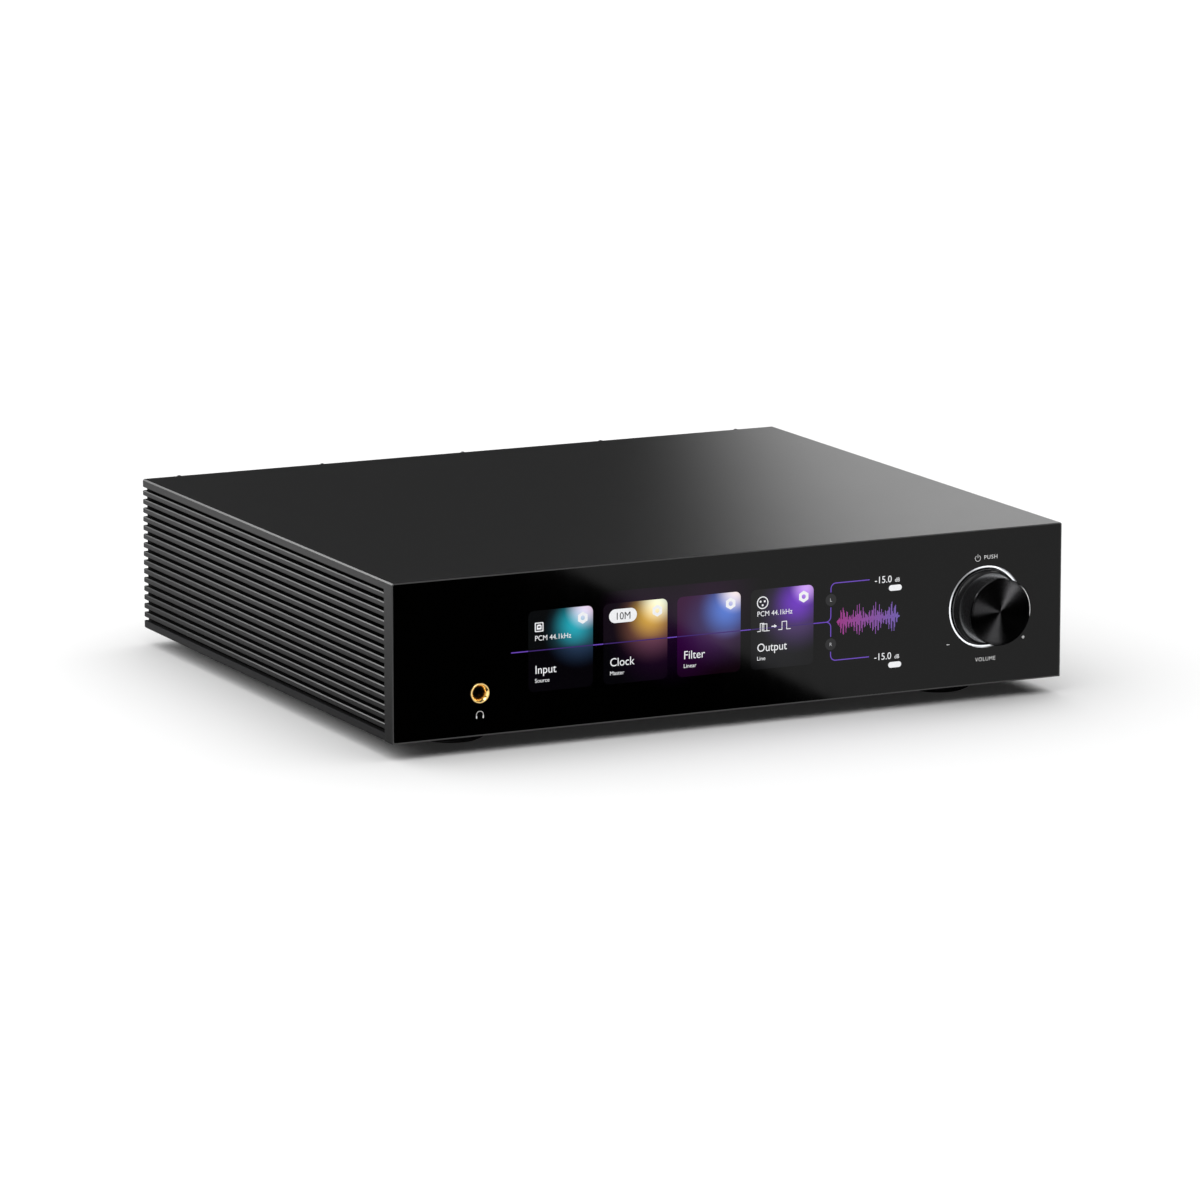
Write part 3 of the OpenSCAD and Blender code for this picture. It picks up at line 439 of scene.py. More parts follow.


# Each card's halos and then its ground's colour, above the signal line and below it. A halo is the
# x and z of its middle and its reach, in millimetres from the card's lower left corner, and its
# colour. Places and reaches were chosen one by one. The colours came from a least-squares fit to
# colours read off the photo's display: about 50 of the 84 values are the fit's, rounded, and the
# others were then changed.
CARD_LOOKS = {
    "source": (
        ((36, 46, 14, (0.81, 0.59, 0.75)),
         (29, 37, 16, (0.00, 0.29, 0.345)),
         (32, 34, 24, (0.02, 0.10, 0.14))), (0.0035, 0.004, 0.0045),
        ((32, 34, 24, (0.028, 0.063, 0.137)),), (0.0017, 0.0013, 0.0025),
    ),
    "clock": (
        ((35, 46, 15, (0.64, 0.80, 0.69)),
         (30, 38, 17, (0.44, 0.30, 0.00)),
         (31, 34, 26, (0.25, 0.10, 0.06))), (0.008, 0.0046, 0.009),
        ((31, 34, 26, (0.176, 0.066, 0.096)),
         (34, 24, 34, (0.011, 0.001, 0.014))), (0.0016, 0.0014, 0.0025),
    ),
    "filter": (
        ((37, 47, 14, (0.87, 0.72, 0.49)),
         (32, 38, 20, (0.053, 0.16, 0.51)),
         (28, 30, 30, (0.01, 0.04, 0.11))), (0.04, 0.003, 0.04),
        ((32, 38, 20, (0.20, 0.30, 0.90)),
         (28, 30, 30, (0.048, 0.02, 0.075)),
         (4, 24, 34, (0.0205, 0.0, 0.0345))), (0.005, 0.001, 0.0035),
    ),
    "output": (
        ((36, 46, 12, (0.54, 0.33, 0.69)),
         (30, 38, 18, (0.087, 0.007, 0.37)),
         (30, 34, 28, (0.06, 0.024, 0.13))), (0.0075, 0.0075, 0.0075),
        ((30, 34, 28, (0.09, 0.043, 0.175)),
         (20, 16, 40, (0.007, 0.007, 0.009))), (0.001, 0.001, 0.001),
    ),
}


def make_cards():
    """Four cards in a row: source, clock, filter and output."""
    for left, (name, look) in zip(CARD_X, CARD_LOOKS.items()):
        material = card_material("card_" + name, left, look[:2], look[2:])
        piece("display_card_" + name, [flat([card_outline(left)], CARD_Y)], material)


def make_screen():
    """The panel behind the cards, with the purple glow behind the two in the middle."""
    material, tree, shader = start("display_ground")
    glass_surface(tree, shader)
    glows = (
        (158, 62, 34, (0.010, 0.0010, 0.012)), (200, 66, 36, (0.012, 0.0012, 0.014)),
        (176, 44, 30, (0.006, 0.0006, 0.010)),
    )
    halos = [halo(tree, *on_face(x, z), reach * MM, colour) for x, z, reach, colour in glows]
    dither = noise(tree, place(tree), 2500, 1)
    total = sum_colours(tree, halos)
    uneven = remap(tree, dither, 0, 1, 0.85, 1.15)
    tree.links.new(blend_colour(tree, 1.0, total, uneven, "MULTIPLY"), shader.inputs["Emission Color"])
    shader.inputs["Emission Strength"].default_value = 1.0
    corners = (*on_face(GROUND_X[0], GROUND_Z[0]), *on_face(GROUND_X[1], GROUND_Z[1]))
    panel = flat([round_rect(*corners, GROUND_R * MM)], SCREEN_Y)
    piece("display_ground", [panel], material)


def at(points):
    return [on_face(x, z) for x, z in points]


def bar(x, low, high, width):
    """Upright bar about x."""
    left, right = x - width / 2, x + width / 2
    return at([(left, low), (right, low), (right, high), (left, high)])


def hexagon(x, z, r):
    return at([(x + r * math.sin(math.radians(60 * i)), z + r * math.cos(math.radians(60 * i)))
               for i in range(6)])


def settings_mark(left):
    """White hexagon with a hole, at a card's upper right."""
    x, z = left + 34.2, CARD_Z[1] - 6.6
    return flat([hexagon(x, z, 3.5), at(circle(x, z, 1.35, 24))], MARK_Y)


def title(left, name, note):
    x, z = on_face(left + 4.0, CARD_Z[0] + 10.3)
    return [
        words(name, x, z, 5.0 * MM, MARK_Y, narrow=0.95),
        words(note, x, z - 5.1 * MM, 2.4 * MM, MARK_Y),
    ]


def rate(left, drop):
    x, z = on_face(left + 4.0, CARD_Z[1] - drop)
    return words("PCM 44.1kHz", x, z, 3.1 * MM, MARK_Y, narrow=0.96)


def source_icon(left):
    """Square socket seen end on."""
    x, z = left + 6.8, CARD_Z[1] - 9.6
    outer = at(round_rect(x - 2.7, z - 2.7, x + 2.7, z + 2.7, 0.5, 3))
    inner = at(round_rect(x - 2.1, z - 2.1, x + 2.1, z + 2.1, 0.3, 3))
    body = at([(x - 1.5, z - 1.4), (x + 1.5, z - 1.4), (x + 1.5, z + 0.8), (x + 0.8, z + 1.5),
               (x - 0.8, z + 1.5), (x - 1.5, z + 0.8)])
    slot = at([(x - 0.8, z - 0.4), (x + 0.8, z - 0.4), (x + 0.8, z + 0.5), (x - 0.8, z + 0.5)])
    return [flat([outer, inner], MARK_Y), flat([body, slot], MARK_Y)]


def clock_pill(left):
    """White pill, on which the clock's frequency is written."""
    x0, z0 = on_face(left + 3.6, CARD_Z[1] - 11.5)
    x1, z1 = on_face(left + 21.2, CARD_Z[1] - 3.5)
    return flat([round_rect(x0, z0, x1, z1, 3.99 * MM)], MARK_Y)


def output_icon(left):
    """Round socket with three contacts."""
    x, z = left + 7.6, CARD_Z[1] - 7.9
    ring = [at(circle(x, z, 3.7)), at(circle(x, z, 3.1))]
    dots = [flat([at(circle(x + 1.55 * math.cos(math.radians(a)), z + 1.45 * math.sin(math.radians(a)),
                            0.62, 20))], MARK_Y) for a in (150, 30, 270)]
    return [flat(ring, MARK_Y)] + dots


def pulse_icon(left):
    """Uneven pulses, an arrow, and one even pulse."""
    x, z = left + 4.2, CARD_Z[1] - 24.6
    ragged = [(0, 0), (1.9, 0), (1.9, 4.6), (4.2, 4.6), (4.2, 0), (8.0, 0)]
    second = [(3.2, 0), (3.2, 4.1), (6.2, 4.1), (6.2, 0)]
    clean = [(13.6, 0), (16.0, 0), (16.0, 4.6), (19.0, 4.6), (19.0, 0), (21.6, 0)]
    made = [flat(stroke(at([(x + a, z + b) for a, b in line]), 0.42 * MM), MARK_Y)
            for line in (ragged, second, clean)]
    arrow = at([(x + 9.2, z + 2.0), (x + 11.0, z + 2.0), (x + 11.0, z + 1.2), (x + 12.7, z + 2.3),
                (x + 11.0, z + 3.4), (x + 11.0, z + 2.6), (x + 9.2, z + 2.6)])
    return made + [flat([arrow], MARK_Y)]


def make_marks():
    """White titles, notes and icons of the cards."""
    one, two, three, four = CARD_X
    meshes = [settings_mark(left) for left in CARD_X]
    meshes += title(one, "Input", "Source") + title(two, "Clock", "Master")
    meshes += title(three, "Filter", "Linear") + title(four, "Output", "Line")
    meshes += [rate(one, 17.4), rate(four, 15.8), clock_pill(two)]
    meshes += source_icon(one) + output_icon(four) + pulse_icon(four)
    piece("display_marks", meshes, lit("display_white", WHITE, 0.95))
    dark = lit("display_dark", (0.004, 0.004, 0.005), 1.0)
    x, z = on_face(two + 12.4, CARD_Z[1] - 9.7)
    label = words("10M", x, z, 4.4 * MM, MARK_Y - LAYER, align="CENTER", narrow=0.95)
    piece("display_pill_label", [label], dark)


LINE_X = (73.5, 302.7)       # ends of the signal line
LINE_W = 0.55
LINE_BEND = 3.2              # radius of its corners
SPLIT_X = 277.5
BADGE_Z = (58.9, 32.8)
BADGE_GAP = 4.4              # from a badge's middle to the line's end
BRANCH_Z = (68.6, 23.1)


def signal_line():
    """The line through the cards, its split, and the two branches to the levels."""
    runs = [[(LINE_X[0], LINE_Z), (CARD_X[0], LINE_Z)]]
    for left, after in zip(CARD_X, CARD_X[1:]):
        runs.append([(left + CARD_W, LINE_Z), (after, LINE_Z)])
    bend = LINE_BEND
    for way, branch, badge in zip((1, -1), BRANCH_Z, BADGE_Z):
        turn = arc(SPLIT_X - bend, LINE_Z + way * bend, bend, -90 * way, 0, 10)
        start_x = CARD_X[3] + CARD_W
        runs.append([(start_x, LINE_Z)] + turn + [(SPLIT_X, badge - way * BADGE_GAP)])
        out = arc(SPLIT_X + bend, branch - way * bend, bend, 180, 180 - 90 * way, 10)
        runs.append([(SPLIT_X, badge + way * BADGE_GAP)] + out + [(LINE_X[1], branch)])
    return runs


def make_lines():
    meshes = [flat(stroke(at(run), LINE_W * MM), MARK_Y) for run in signal_line()]
    piece("display_signal_line", meshes, lit("display_violet", VIOLET, 1.0))
    faint = []
    inset, half = 0.4, 0.3
    for left in CARD_X:
        x0, z0 = on_face(left + inset, LINE_Z - half)
        x1, z1 = on_face(left + CARD_W - inset, LINE_Z + half)
        faint.append(flat([[(x0, z0), (x1, z0), (x1, z1), (x0, z1)]], MARK_Y))
    piece("display_faint_line", faint, lit("display_faint_violet", (0.05, 0.022, 0.15), 1.0))


LEVEL_X = 306.0              # left edge of the level figures
UNIT_X = 319.3               # left edge of their unit
LEVEL_Z = (66.0, 20.6)       # baselines
PILL_X = (315.4, 323.9)
PILL_Z = ((60.8, 64.2), (15.3, 18.7))
PILL_R = 1.69
BADGE_R = 3.5


def make_levels():
    """The two level figures with their pills, and the channel badges."""
    white, pills, discs, letters = [], [], [], []
    for base, (low, high) in zip(LEVEL_Z, PILL_Z):
        white.append(words("-15.0", *on_face(LEVEL_X, base), 4.2 * MM, MARK_Y, narrow=0.97))
        white.append(words("dB", *on_face(UNIT_X, base), 2.5 * MM, MARK_Y, narrow=0.9))
        corners = (*on_face(PILL_X[0], low), *on_face(PILL_X[1], high))
        pills.append(flat([round_rect(*corners, PILL_R * MM)], MARK_Y))
    for z, letter in zip(BADGE_Z, "LR"):
        x, z = on_face(SPLIT_X, z)
        discs.append(flat([circle(x, z, BADGE_R * MM)], MARK_Y))
        letters.append(words(letter, x, z - 1.0 * MM, 2.0 * MM, MARK_Y - LAYER, align="CENTER"))
    piece("display_levels", white + pills, lit("display_level_white", WHITE, 0.95))
    piece("display_badges", discs, lit("display_grey", (0.019, 0.019, 0.020), 1.0))
    piece("display_badge_letters", letters, lit("display_soft_white", (0.5, 0.5, 0.52), 1.0))


WAVE_X = (281.6, 322.4)
WAVE_Z = 45.6
WAVE_STEPS = 84
WAVE_BAR = 0.28              # width of a bar
WAVE_LEAST = 0.5             # least height of a bar to either side


def make_waveform():
    """Bars whose heights follow a few beating waves, pink on the left and violet on the right."""
    material, tree, shader = start("display_waveform")
    glass_surface(tree, shader)
    here = add(tree, "TexCoord").outputs["Object"]
    across = add(tree, "SeparateXYZ", {0: here}).outputs["X"]
    ends = [on_face(x, 0)[0] for x in WAVE_X]
    share = remap(tree, across, *ends, 0, 1)
    tint = blend_colour(tree, share, rgb(0.50, 0.055, 0.36), rgb(0.24, 0.16, 0.62))
    tree.links.new(tint, shader.inputs["Emission Color"])
    shader.inputs["Emission Strength"].default_value = 1.0
    bars = []
    for i in range(WAVE_STEPS + 1):
        t = i / WAVE_STEPS
        fade = min(1, 12 * t, 14 * (1 - t))
        envelope = (0.35 + 0.65 * abs(math.sin(11.5 * t + 0.7)) ** 1.6) * fade
        high = WAVE_LEAST + 9.7 * envelope * abs(math.sin(61 * t + 1.3) * math.cos(97 * t)) ** 0.7
        low = WAVE_LEAST + 8.7 * envelope * abs(math.sin(73 * t + 0.4)) ** 1.5
        x = WAVE_X[0] + (WAVE_X[1] - WAVE_X[0]) * t
        bars.append(bar(x, WAVE_Z - low, WAVE_Z + high, WAVE_BAR))
    piece("display_waveform", [flat(bars, MARK_Y)], material)


# ---------- print on the glass ----------
HEADPHONE_MARK = (54.0, 12.0)        # middle of its band
POWER_MARK = (374.2, 75.2)
PUSH_AT = (378.2, 74.3)
VOLUME_AT = (379.8, 13.8)
MINUS_MARK = (354.8, 25.5)
PLUS_MARK = (405.0, 25.7)
MARK_REACH = (0.9, 1.0)              # half the width of the minus and of the plus
PRINT_CAPITALS = 2.45


def headphone_mark(y):
    """Band with an ear pad at each end."""
    x, z = HEADPHONE_MARK
    radius = 2.25
    foot = z - 1.4
    band = [(x + radius, foot)] + arc(x, z, radius, 0, 180, 16) + [(x - radius, foot)]
    meshes = [flat(stroke(at(band), 0.26 * MM), y)]
    for pad in (x - 2.05, x + 2.05):
        meshes.append(flat([at(round_rect(pad - 0.35, z - 1.9, pad + 0.35, z - 0.3, 0.3, 4))], y))
    return meshes


def power_mark(y):
    """Broken ring with an upright stroke in the gap."""
    x, z = POWER_MARK
    ring = stroke(at(arc(x, z, 1.75, 125, 415, 24)), 0.32 * MM)
    upright = stroke(at([(x, z + 0.2), (x, z + 2.4)]), 0.32 * MM)
    return [flat(ring, y), flat(upright, y)]


def make_print():
    """Headphone, power, plus and minus marks, and the words round the knob."""
    y = FACE_Y - PRINT_T
    meshes = headphone_mark(y) + power_mark(y)
    height = PRINT_CAPITALS * MM
    meshes.append(words("PUSH", *on_face(*PUSH_AT), height, y, spread=1.15, narrow=1.04))
    meshes.append(words("VOLUME", *on_face(*VOLUME_AT), height, y, align="CENTER", spread=1.13,
                        narrow=0.95))
    (minus_x, minus_z), (plus_x, plus_z) = MINUS_MARK, PLUS_MARK
    minus, plus = MARK_REACH
    for line in (
        [(minus_x - minus, minus_z), (minus_x + minus, minus_z)],
        [(plus_x - plus, plus_z), (plus_x + plus, plus_z)],
        [(plus_x, plus_z - plus), (plus_x, plus_z + plus)],
    ):
        meshes.append(flat(stroke(at(line), 0.42 * MM), y))
    piece("front_print", meshes, glowing_pale_ink())


# ---------- the knob ----------
def knob_profile():
    """Loop of (radius, y): skirt, flared side, chamfered rim, turned face, and the hollow back."""
    front = KNOB_LOW[1]
    back = KNOB_HIGH[1]
    deep = back - front
    skirt = (KNOB_HIGH[0] - KNOB_LOW[0]) / 2
    rim = skirt - 2.5 * MM
    neck = back - 5.2 * MM       # where the flare meets the straight side
    outline = [(skirt - 0.4 * MM, back), (skirt - 0.12 * MM, back - 0.06 * MM), (skirt, back - 0.3 * MM)]
    flare = 12
    for i in range(flare + 1):
        a = math.radians(90 * i / flare)
        inward = (skirt - rim - 0.2 * MM) * math.sin(a)
        outline.append((skirt - inward, neck + 4 * MM * math.cos(a)))
    side = 10
    for i in range(1, side + 1):
        t = i / side
        waist = 0.12 * MM * math.sin(math.pi * t)
        outline.append((rim + 0.2 * MM * (1 - t) - waist, neck - (deep - 5.8 * MM) * t))
    outline += [(rim - 0.04 * MM, front + 0.42 * MM), (rim - 0.5 * MM, front + 0.04 * MM),
                (rim - 0.6 * MM, front), (rim - 0.9 * MM, front + 0.03 * MM)]
    dish = 12
    for i in range(dish):
        r = (rim - 1.1 * MM) * (1 - i / dish)
        outline.append((r, front + 0.05 * MM + 0.25 * MM * (1 - (r / rim) ** 2)))
    outline += [(0, front + 0.3 * MM), (0, front + 2.9 * MM), (7 * MM, front + 3 * MM),
                (17 * MM, front + 3 * MM), (17 * MM, back - 4.5 * MM), (19 * MM, back)]
    return outline


RING_LINE = 0.25 * MM        # width of the lit line round the knob
FACE_TILT = 0.15             # slope with which the knob's face is turned, as its surface shows it


def turned_metal(name, colour, rough, anisotropic):
    """Metal turned on a lathe: rings round its axis, which draw each light out into a ray."""
    material, tree, shader = start(name)
    away = distance_from(tree, KNOB_X, KNOB_Z)
    spread = add(tree, "CombineXYZ", {"X": away, "Y": 0.0, "Z": 0.0}).outputs[0]
    grooves = noise(tree, spread, 9000, 2)
    mottled = noise(tree, place(tree), 700, 3)
    paint = blend_colour(tree, mottled, rgb(*[c * 0.85 for c in colour]), rgb(*[c * 1.15 for c in colour]))
    tree.links.new(paint, shader.inputs["Base Color"])
    tree.links.new(remap(tree, grooves, 0.3, 0.7, *rough), shader.inputs["Roughness"])
    fine = add(tree, "Math", {0: grooves, 1: 0.000002}, operation="MULTIPLY").outputs[0]
    height = add(tree, "Math", {0: away, 1: -FACE_TILT, 2: fine}, operation="MULTIPLY_ADD").outputs[0]
    relief = add(tree, "Bump", {"Height": height, "Strength": 1.0, "Distance": 1.0})
    tree.links.new(relief.outputs["Normal"], shader.inputs["Normal"])
    around = add(tree, "Tangent", direction_type="RADIAL", axis="Y").outputs["Tangent"]
    tree.links.new(around, shader.inputs["Tangent"])
    shader.inputs["Metallic"].default_value = 1.0
    shader.inputs["Anisotropic"].default_value = anisotropic
    shader.inputs["Anisotropic Rotation"].default_value = 0.25
    return material


def use_second_material(made, second, chosen):
    """Give a second material to the faces whose middles are chosen."""
    made.data.materials.append(second)
    for face in made.data.polygons:
        if chosen(face.center):
            face.material_index = 1


def make_knob():
    """Turned knob: bright rings on its face, and a smooth dark side and skirt."""
    face = turned_metal("knob_face", (0.050, 0.050, 0.052), (0.20, 0.28), 0.9)
    side = finish("knob_side", (0.011, 0.011, 0.0115), 0.0, (0.20, 0.25), 2600, 0.03, 0.08)
    shape = lathe((KNOB_X, KNOB_Z), knob_profile(), 256)
    knob = piece("volume_knob_turned", [shape], face, "knob")
    use_second_material(knob, side, lambda middle: middle.y > KNOB_LOW[1] + 0.4 * MM)
    smooth_by_angle(knob, 35)
    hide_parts("volume_knob")
    knob.visible_glossy = False
    return knob


def make_light_ring():
    """Edge of the light guide round the knob. Its glow is painted dimmer at the upper left and the lower
    right than at the upper right and the lower left: painted shade.
    """
    centre = (KNOB_X, KNOB_Z)
    inner = (WELL_HIGH[0] - WELL_LOW[0]) / 2 + 0.2 * MM
    outer = inner + RING_LINE
    flange = (RING_HIGH[0] - RING_LOW[0]) / 2
    front = FACE_Y - 0.02 * MM
    back = RING_HIGH[1]
    crown = 0.04 * MM
    profile = [(inner, back), (flange, back), (flange, back - 1.5 * MM), (outer, back - 1.5 * MM),
               (outer, front + crown), (outer - crown, front), (inner + crown, front),
               (inner, front + crown)]
    material, tree, shader = start("ring_light")
    # Painted shade: the ring's glow fades away from the line through its upper right and lower left.
    painted_bright_way = Vector((0.72, 0.0, 0.70))
    here = add(tree, "TexCoord").outputs["Object"]
    away = add(tree, "VectorMath", {0: here, 1: (centre[0], 0, centre[1])}, operation="SUBTRACT").outputs[0]
    along = add(tree, "VectorMath", {0: away, 1: painted_bright_way / outer}, operation="DOT_PRODUCT").outputs["Value"]
    near_painted_bright = add(tree, "Math", {0: along}, operation="ABSOLUTE").outputs[0]
    uneven = noise(tree, place(tree), 500, 2)
    level = remap(tree, near_painted_bright, 0.15, 0.75, 0.22, 1.0, smooth=True)
    flicker = remap(tree, uneven, 0.3, 0.7, 0.95, 1.05)
    total = add(tree, "Math", {0: level, 1: flicker}, operation="MULTIPLY").outputs[0]
    glow = blend_colour(tree, total, rgb(0, 0, 0), rgb(0.94, 0.96, 1.0))
    tree.links.new(glow, shader.inputs["Emission Color"])
    shader.inputs["Emission Strength"].default_value = 1.1
    shader.inputs["Base Color"].default_value = rgb(0.3, 0.3, 0.3)
    shader.inputs["Roughness"].default_value = 0.35
    ring = piece("light_ring_edge", [lathe(centre, profile, 256)], material)
    smooth_by_angle(ring, 30)
    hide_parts("light_ring")


# ---------- sockets ----------
def make_jack():
    """Gold ring of the headphone socket, with a rolled edge and a funnel."""
    front, back = JACK_LOW[1], JACK_HIGH[1]
    outer = (JACK_HIGH[0] - JACK_LOW[0]) / 2
    bore = 3.3 * MM
    neck = 4.8 * MM
    roll = 0.35 * MM
    profile = [(bore, back), (neck, back), (neck, FACE_Y), (outer - 0.05 * MM, FACE_Y)]
    profile += arc(outer - roll, front + roll, roll, 0, -90, 6)
    mouth = outer - 1.0 * MM
    brink = front + 0.12 * MM
    funnel = 2.6 * MM
    profile += [(outer - 0.8 * MM, front), (mouth, brink)]
    steps = 10
    for i in range(1, steps + 1):
        t = i / steps
        profile.append((mouth - (mouth - bore) * t, brink + funnel * (1 - (1 - t) ** 0.6)))
    gold = finish("gold_plate", (0.86, 0.60, 0.24), 1.0, (0.16, 0.26), 900, 0.06, 0.06)
    ring = piece("headphone_ring", [lathe((JACK_X, JACK_Z), profile, 128)], gold)
    smooth_by_angle(ring, 30)
    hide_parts("headphone_ferrule")
    return gold


# ---------- materials of the CAD nodes ----------
def rib_material():
    """Anodised ribs: grain drawn along them, and painted shade in the grooves: near black colour and high
    roughness deep inside them.
    """
    material = finish("rib_metal", (0.021, 0.021, 0.0214), 0.0, (0.26, 0.36), 1800, 0.15, 0.2,
                      stretch=(1, 0.06, 1))
    tree = material.node_tree
    shader = tree.nodes["Principled BSDF"]
    here = add(tree, "SeparateXYZ", {0: add(tree, "TexCoord").outputs["Object"]})
    outward = add(tree, "Math", {0: here.outputs["X"]}, operation="ABSOLUTE").outputs[0]
    side = abs(LEFT_X)
    # Painted shade: deep in the grooves the base colour goes near black, standing in for the shade there;
    # roughness goes up too.
    deep = remap(tree, outward, side - 0.9 * MM, side - 0.5 * MM, 1.0, 0.0)
    painted_groove_shade_and_rough = {"Base Color": rgb(0.0012, 0.0012, 0.0012), "Roughness": rgb(0.95, 0.95, 0.95)}
    for socket, inside in painted_groove_shade_and_rough.items():
        outside = shader.inputs[socket].links[0].from_socket
        tree.links.new(blend_colour(tree, deep, outside, inside), shader.inputs[socket])
    return material


def paint_frame(gold):
    case = finish("case_metal", (0.0220, 0.0220, 0.0224), 0.0, (0.27, 0.33), 2600, 0.25, 0.20)
    base = finish("base_metal", (0.022, 0.022, 0.023), 0.0, (0.40, 0.55), 2600, 0.3, 0.2)
    ribs = rib_material()
    rear = finish("rear_metal", (0.018, 0.018, 0.019), 0.0, (0.42, 0.56), 2400, 0.3, 0.2)
    steel = finish("plated_steel", (0.60, 0.60, 0.62), 1.0, (0.25, 0.4), 1200, 0.1, 0.1)
    screw = finish("black_screw", (0.03, 0.03, 0.032), 0.6, (0.3, 0.45), 1500, 0.1, 0.2, wear=0.5)
    foot = finish("foot_metal", (0.014, 0.014, 0.015), 0.0, (0.35, 0.5), 2400, 0.2, 0.2, wear=0.2)
    rubber = finish("foot_rubber", (0.012, 0.012, 0.012), 0.0, (0.75, 0.92), 1800, 0.5, 0.25)
    board = finish("circuit_board", (0.012, 0.07, 0.035), 0.0, (0.3, 0.5), 700, 0.2, 0.3)
    cream = finish("cream_plastic", (0.68, 0.64, 0.54), 0.0, (0.4, 0.55), 1500, 0.1, 0.06)
    black = finish("black_plastic", (0.016, 0.016, 0.017), 0.0, (0.42, 0.58), 2200, 0.35, 0.2)
    gloss = finish("rocker_plastic", (0.012, 0.012, 0.013), 0.0, (0.18, 0.3), 1500, 0.08, 0.15)
    well = finish("well_plastic", (0.008, 0.008, 0.009), 0.0, (0.4, 0.6), 2200, 0.2, 0.2)
    winding = finish("winding", (0.30, 0.15, 0.05), 0.0, (0.35, 0.6), 500, 0.6, 0.35, stretch=(1, 1, 5))
    sleeve = finish("capacitor_sleeve", (0.03, 0.06, 0.12), 0.0, (0.2, 0.35), 800, 0.1, 0.15)
    nickel = finish("nickel", (0.66, 0.65, 0.62), 1.0, (0.14, 0.28), 1200, 0.06, 0.08)
    socket = finish("socket_metal", (0.02, 0.02, 0.022), 0.2, (0.35, 0.5), 2000, 0.25, 0.2, wear=0.3)
    white = finish("white_plastic", (0.75, 0.75, 0.72), 0.0, (0.25, 0.4), 1500, 0.06, 0.05)
    tube = finish("fuse_glass", (0.70, 0.74, 0.74), 0.0, (0.08, 0.16), 900, 0.02, 0.05, coat=0.5)
    screen = finish("display_panel", (0.004, 0.004, 0.005), 0.0, (0.1, 0.2), 1500, 0.02, 0.2)
    ring = lit("ring_light", (0.92, 0.95, 1.0), 1.15, 0.05)
    coding = finish("ring_plastic", (0.40, 0.02, 0.02), 0.0, (0.25, 0.4), 1500, 0.06, 0.1)
    by_slot = {
        "case_metal": case, "base_metal": base, "rib_metal": ribs, "rear_metal": rear,
        "front_glass": glass_material(), "plated_steel": steel, "black_screw": screw,
        "foot_metal": foot, "foot_rubber": rubber, "display": screen, "circuit_board": board,
        "knob_metal": black, "cream_plastic": cream, "well_plastic": well, "light_ring": ring,
        "gold_plate": gold, "black_plastic": black, "winding": winding,
        "capacitor_sleeve": sleeve, "nickel": nickel, "fuse_glass": tube,
        "rocker_plastic": gloss, "socket_metal": socket, "white_plastic": white,
        "ring_plastic": coding,
    }
    for part in frame["record"]["subparts"]:
        node = frame["nodes"][part["node"]]
        node.data.materials.clear()
        node.data.materials.append(by_slot[part["material_slot"]])


# ---------- studio ----------
# The camera's place and lens were solved from the photo's straight edges.
VIEW_AZIMUTH = 25.91         # degrees left of straight ahead
VIEW_ELEVATION = 11.23
VIEW_DISTANCE = 3.9
VIEW_AIM = Vector((-0.0766, -0.1634, 0.0776))
VIEW_LENS = 205.08


def view_ahead():
    """Direction in which the camera looks."""
    a, e = math.radians(VIEW_AZIMUTH), math.radians(VIEW_ELEVATION)
    return Vector((math.sin(a) * math.cos(e), math.cos(a) * math.cos(e), -math.sin(e)))


def mirrored(normal):
    """Direction in which the camera sees a mirror with that normal look."""
    return view_ahead().reflect(Vector(normal))


def make_camera():
    data = bpy.data.cameras.new("camera")
    data.lens = VIEW_LENS
    data.sensor_width = 36
    data.clip_end = 50
    camera = bpy.data.objects.new("camera", data)
    bpy.context.scene.collection.objects.link(camera)
    ahead = view_ahead()
    camera.location = VIEW_AIM - ahead * VIEW_DISTANCE
    camera.rotation_mode = "QUATERNION"
    camera.rotation_quaternion = ahead.to_track_quat("-Z", "Y")
    bpy.context.scene.camera = camera


def aimed(made, ahead):
    made.rotation_mode = "QUATERNION"
    made.rotation_quaternion = Vector(ahead).normalized().to_track_quat("-Z", "Y")


def area_light(name, target, towards, distance, size, level):
    """Rectangle of light in a direction from its target, square to it. level is its radiance."""
    data = bpy.data.lights.new(name, "AREA")
    data.shape = "RECTANGLE"
    data.size, data.size_y = size
    data.energy = 4 * level * size[0] * size[1]
    light = bpy.data.objects.new(name, data)
    bpy.context.scene.collection.objects.link(light)
    light.location = Vector(target) + Vector(towards).normalized() * distance
    aimed(light, -Vector(towards))
    light.visible_camera = False
    return light


def only_for(source, receivers):
    """Let a light or a card shine on these objects and on nothing else."""
    group = bpy.data.collections.new(source.name + "_receivers")
    for receiver in receivers:
        group.objects.link(receiver)
    source.light_linking.receiver_collection = group


def sky_light(name, towards, degrees, power):
    """Sun as wide as a studio's overhead softbox. towards points from the object to its middle."""
    data = bpy.data.lights.new(name, "SUN")
    data.angle = math.radians(degrees)
    data.energy = power
    light = bpy.data.objects.new(name, data)
    bpy.context.scene.collection.objects.link(light)
    aimed(light, -Vector(towards))
    light.visible_glossy = False
    return light


def stage_plane(name, corners, material):
    mesh = bpy.data.meshes.new(name)
    mesh.from_pydata([tuple(c) for c in corners], [], [(0, 1, 2, 3)])
    mesh.materials.append(material)
    made = bpy.data.objects.new(name, mesh)
    bpy.context.scene.collection.objects.link(made)
    return made


FLOOR_HAZE = 0.015           # least brightness of the floor, in the depth of the shadow


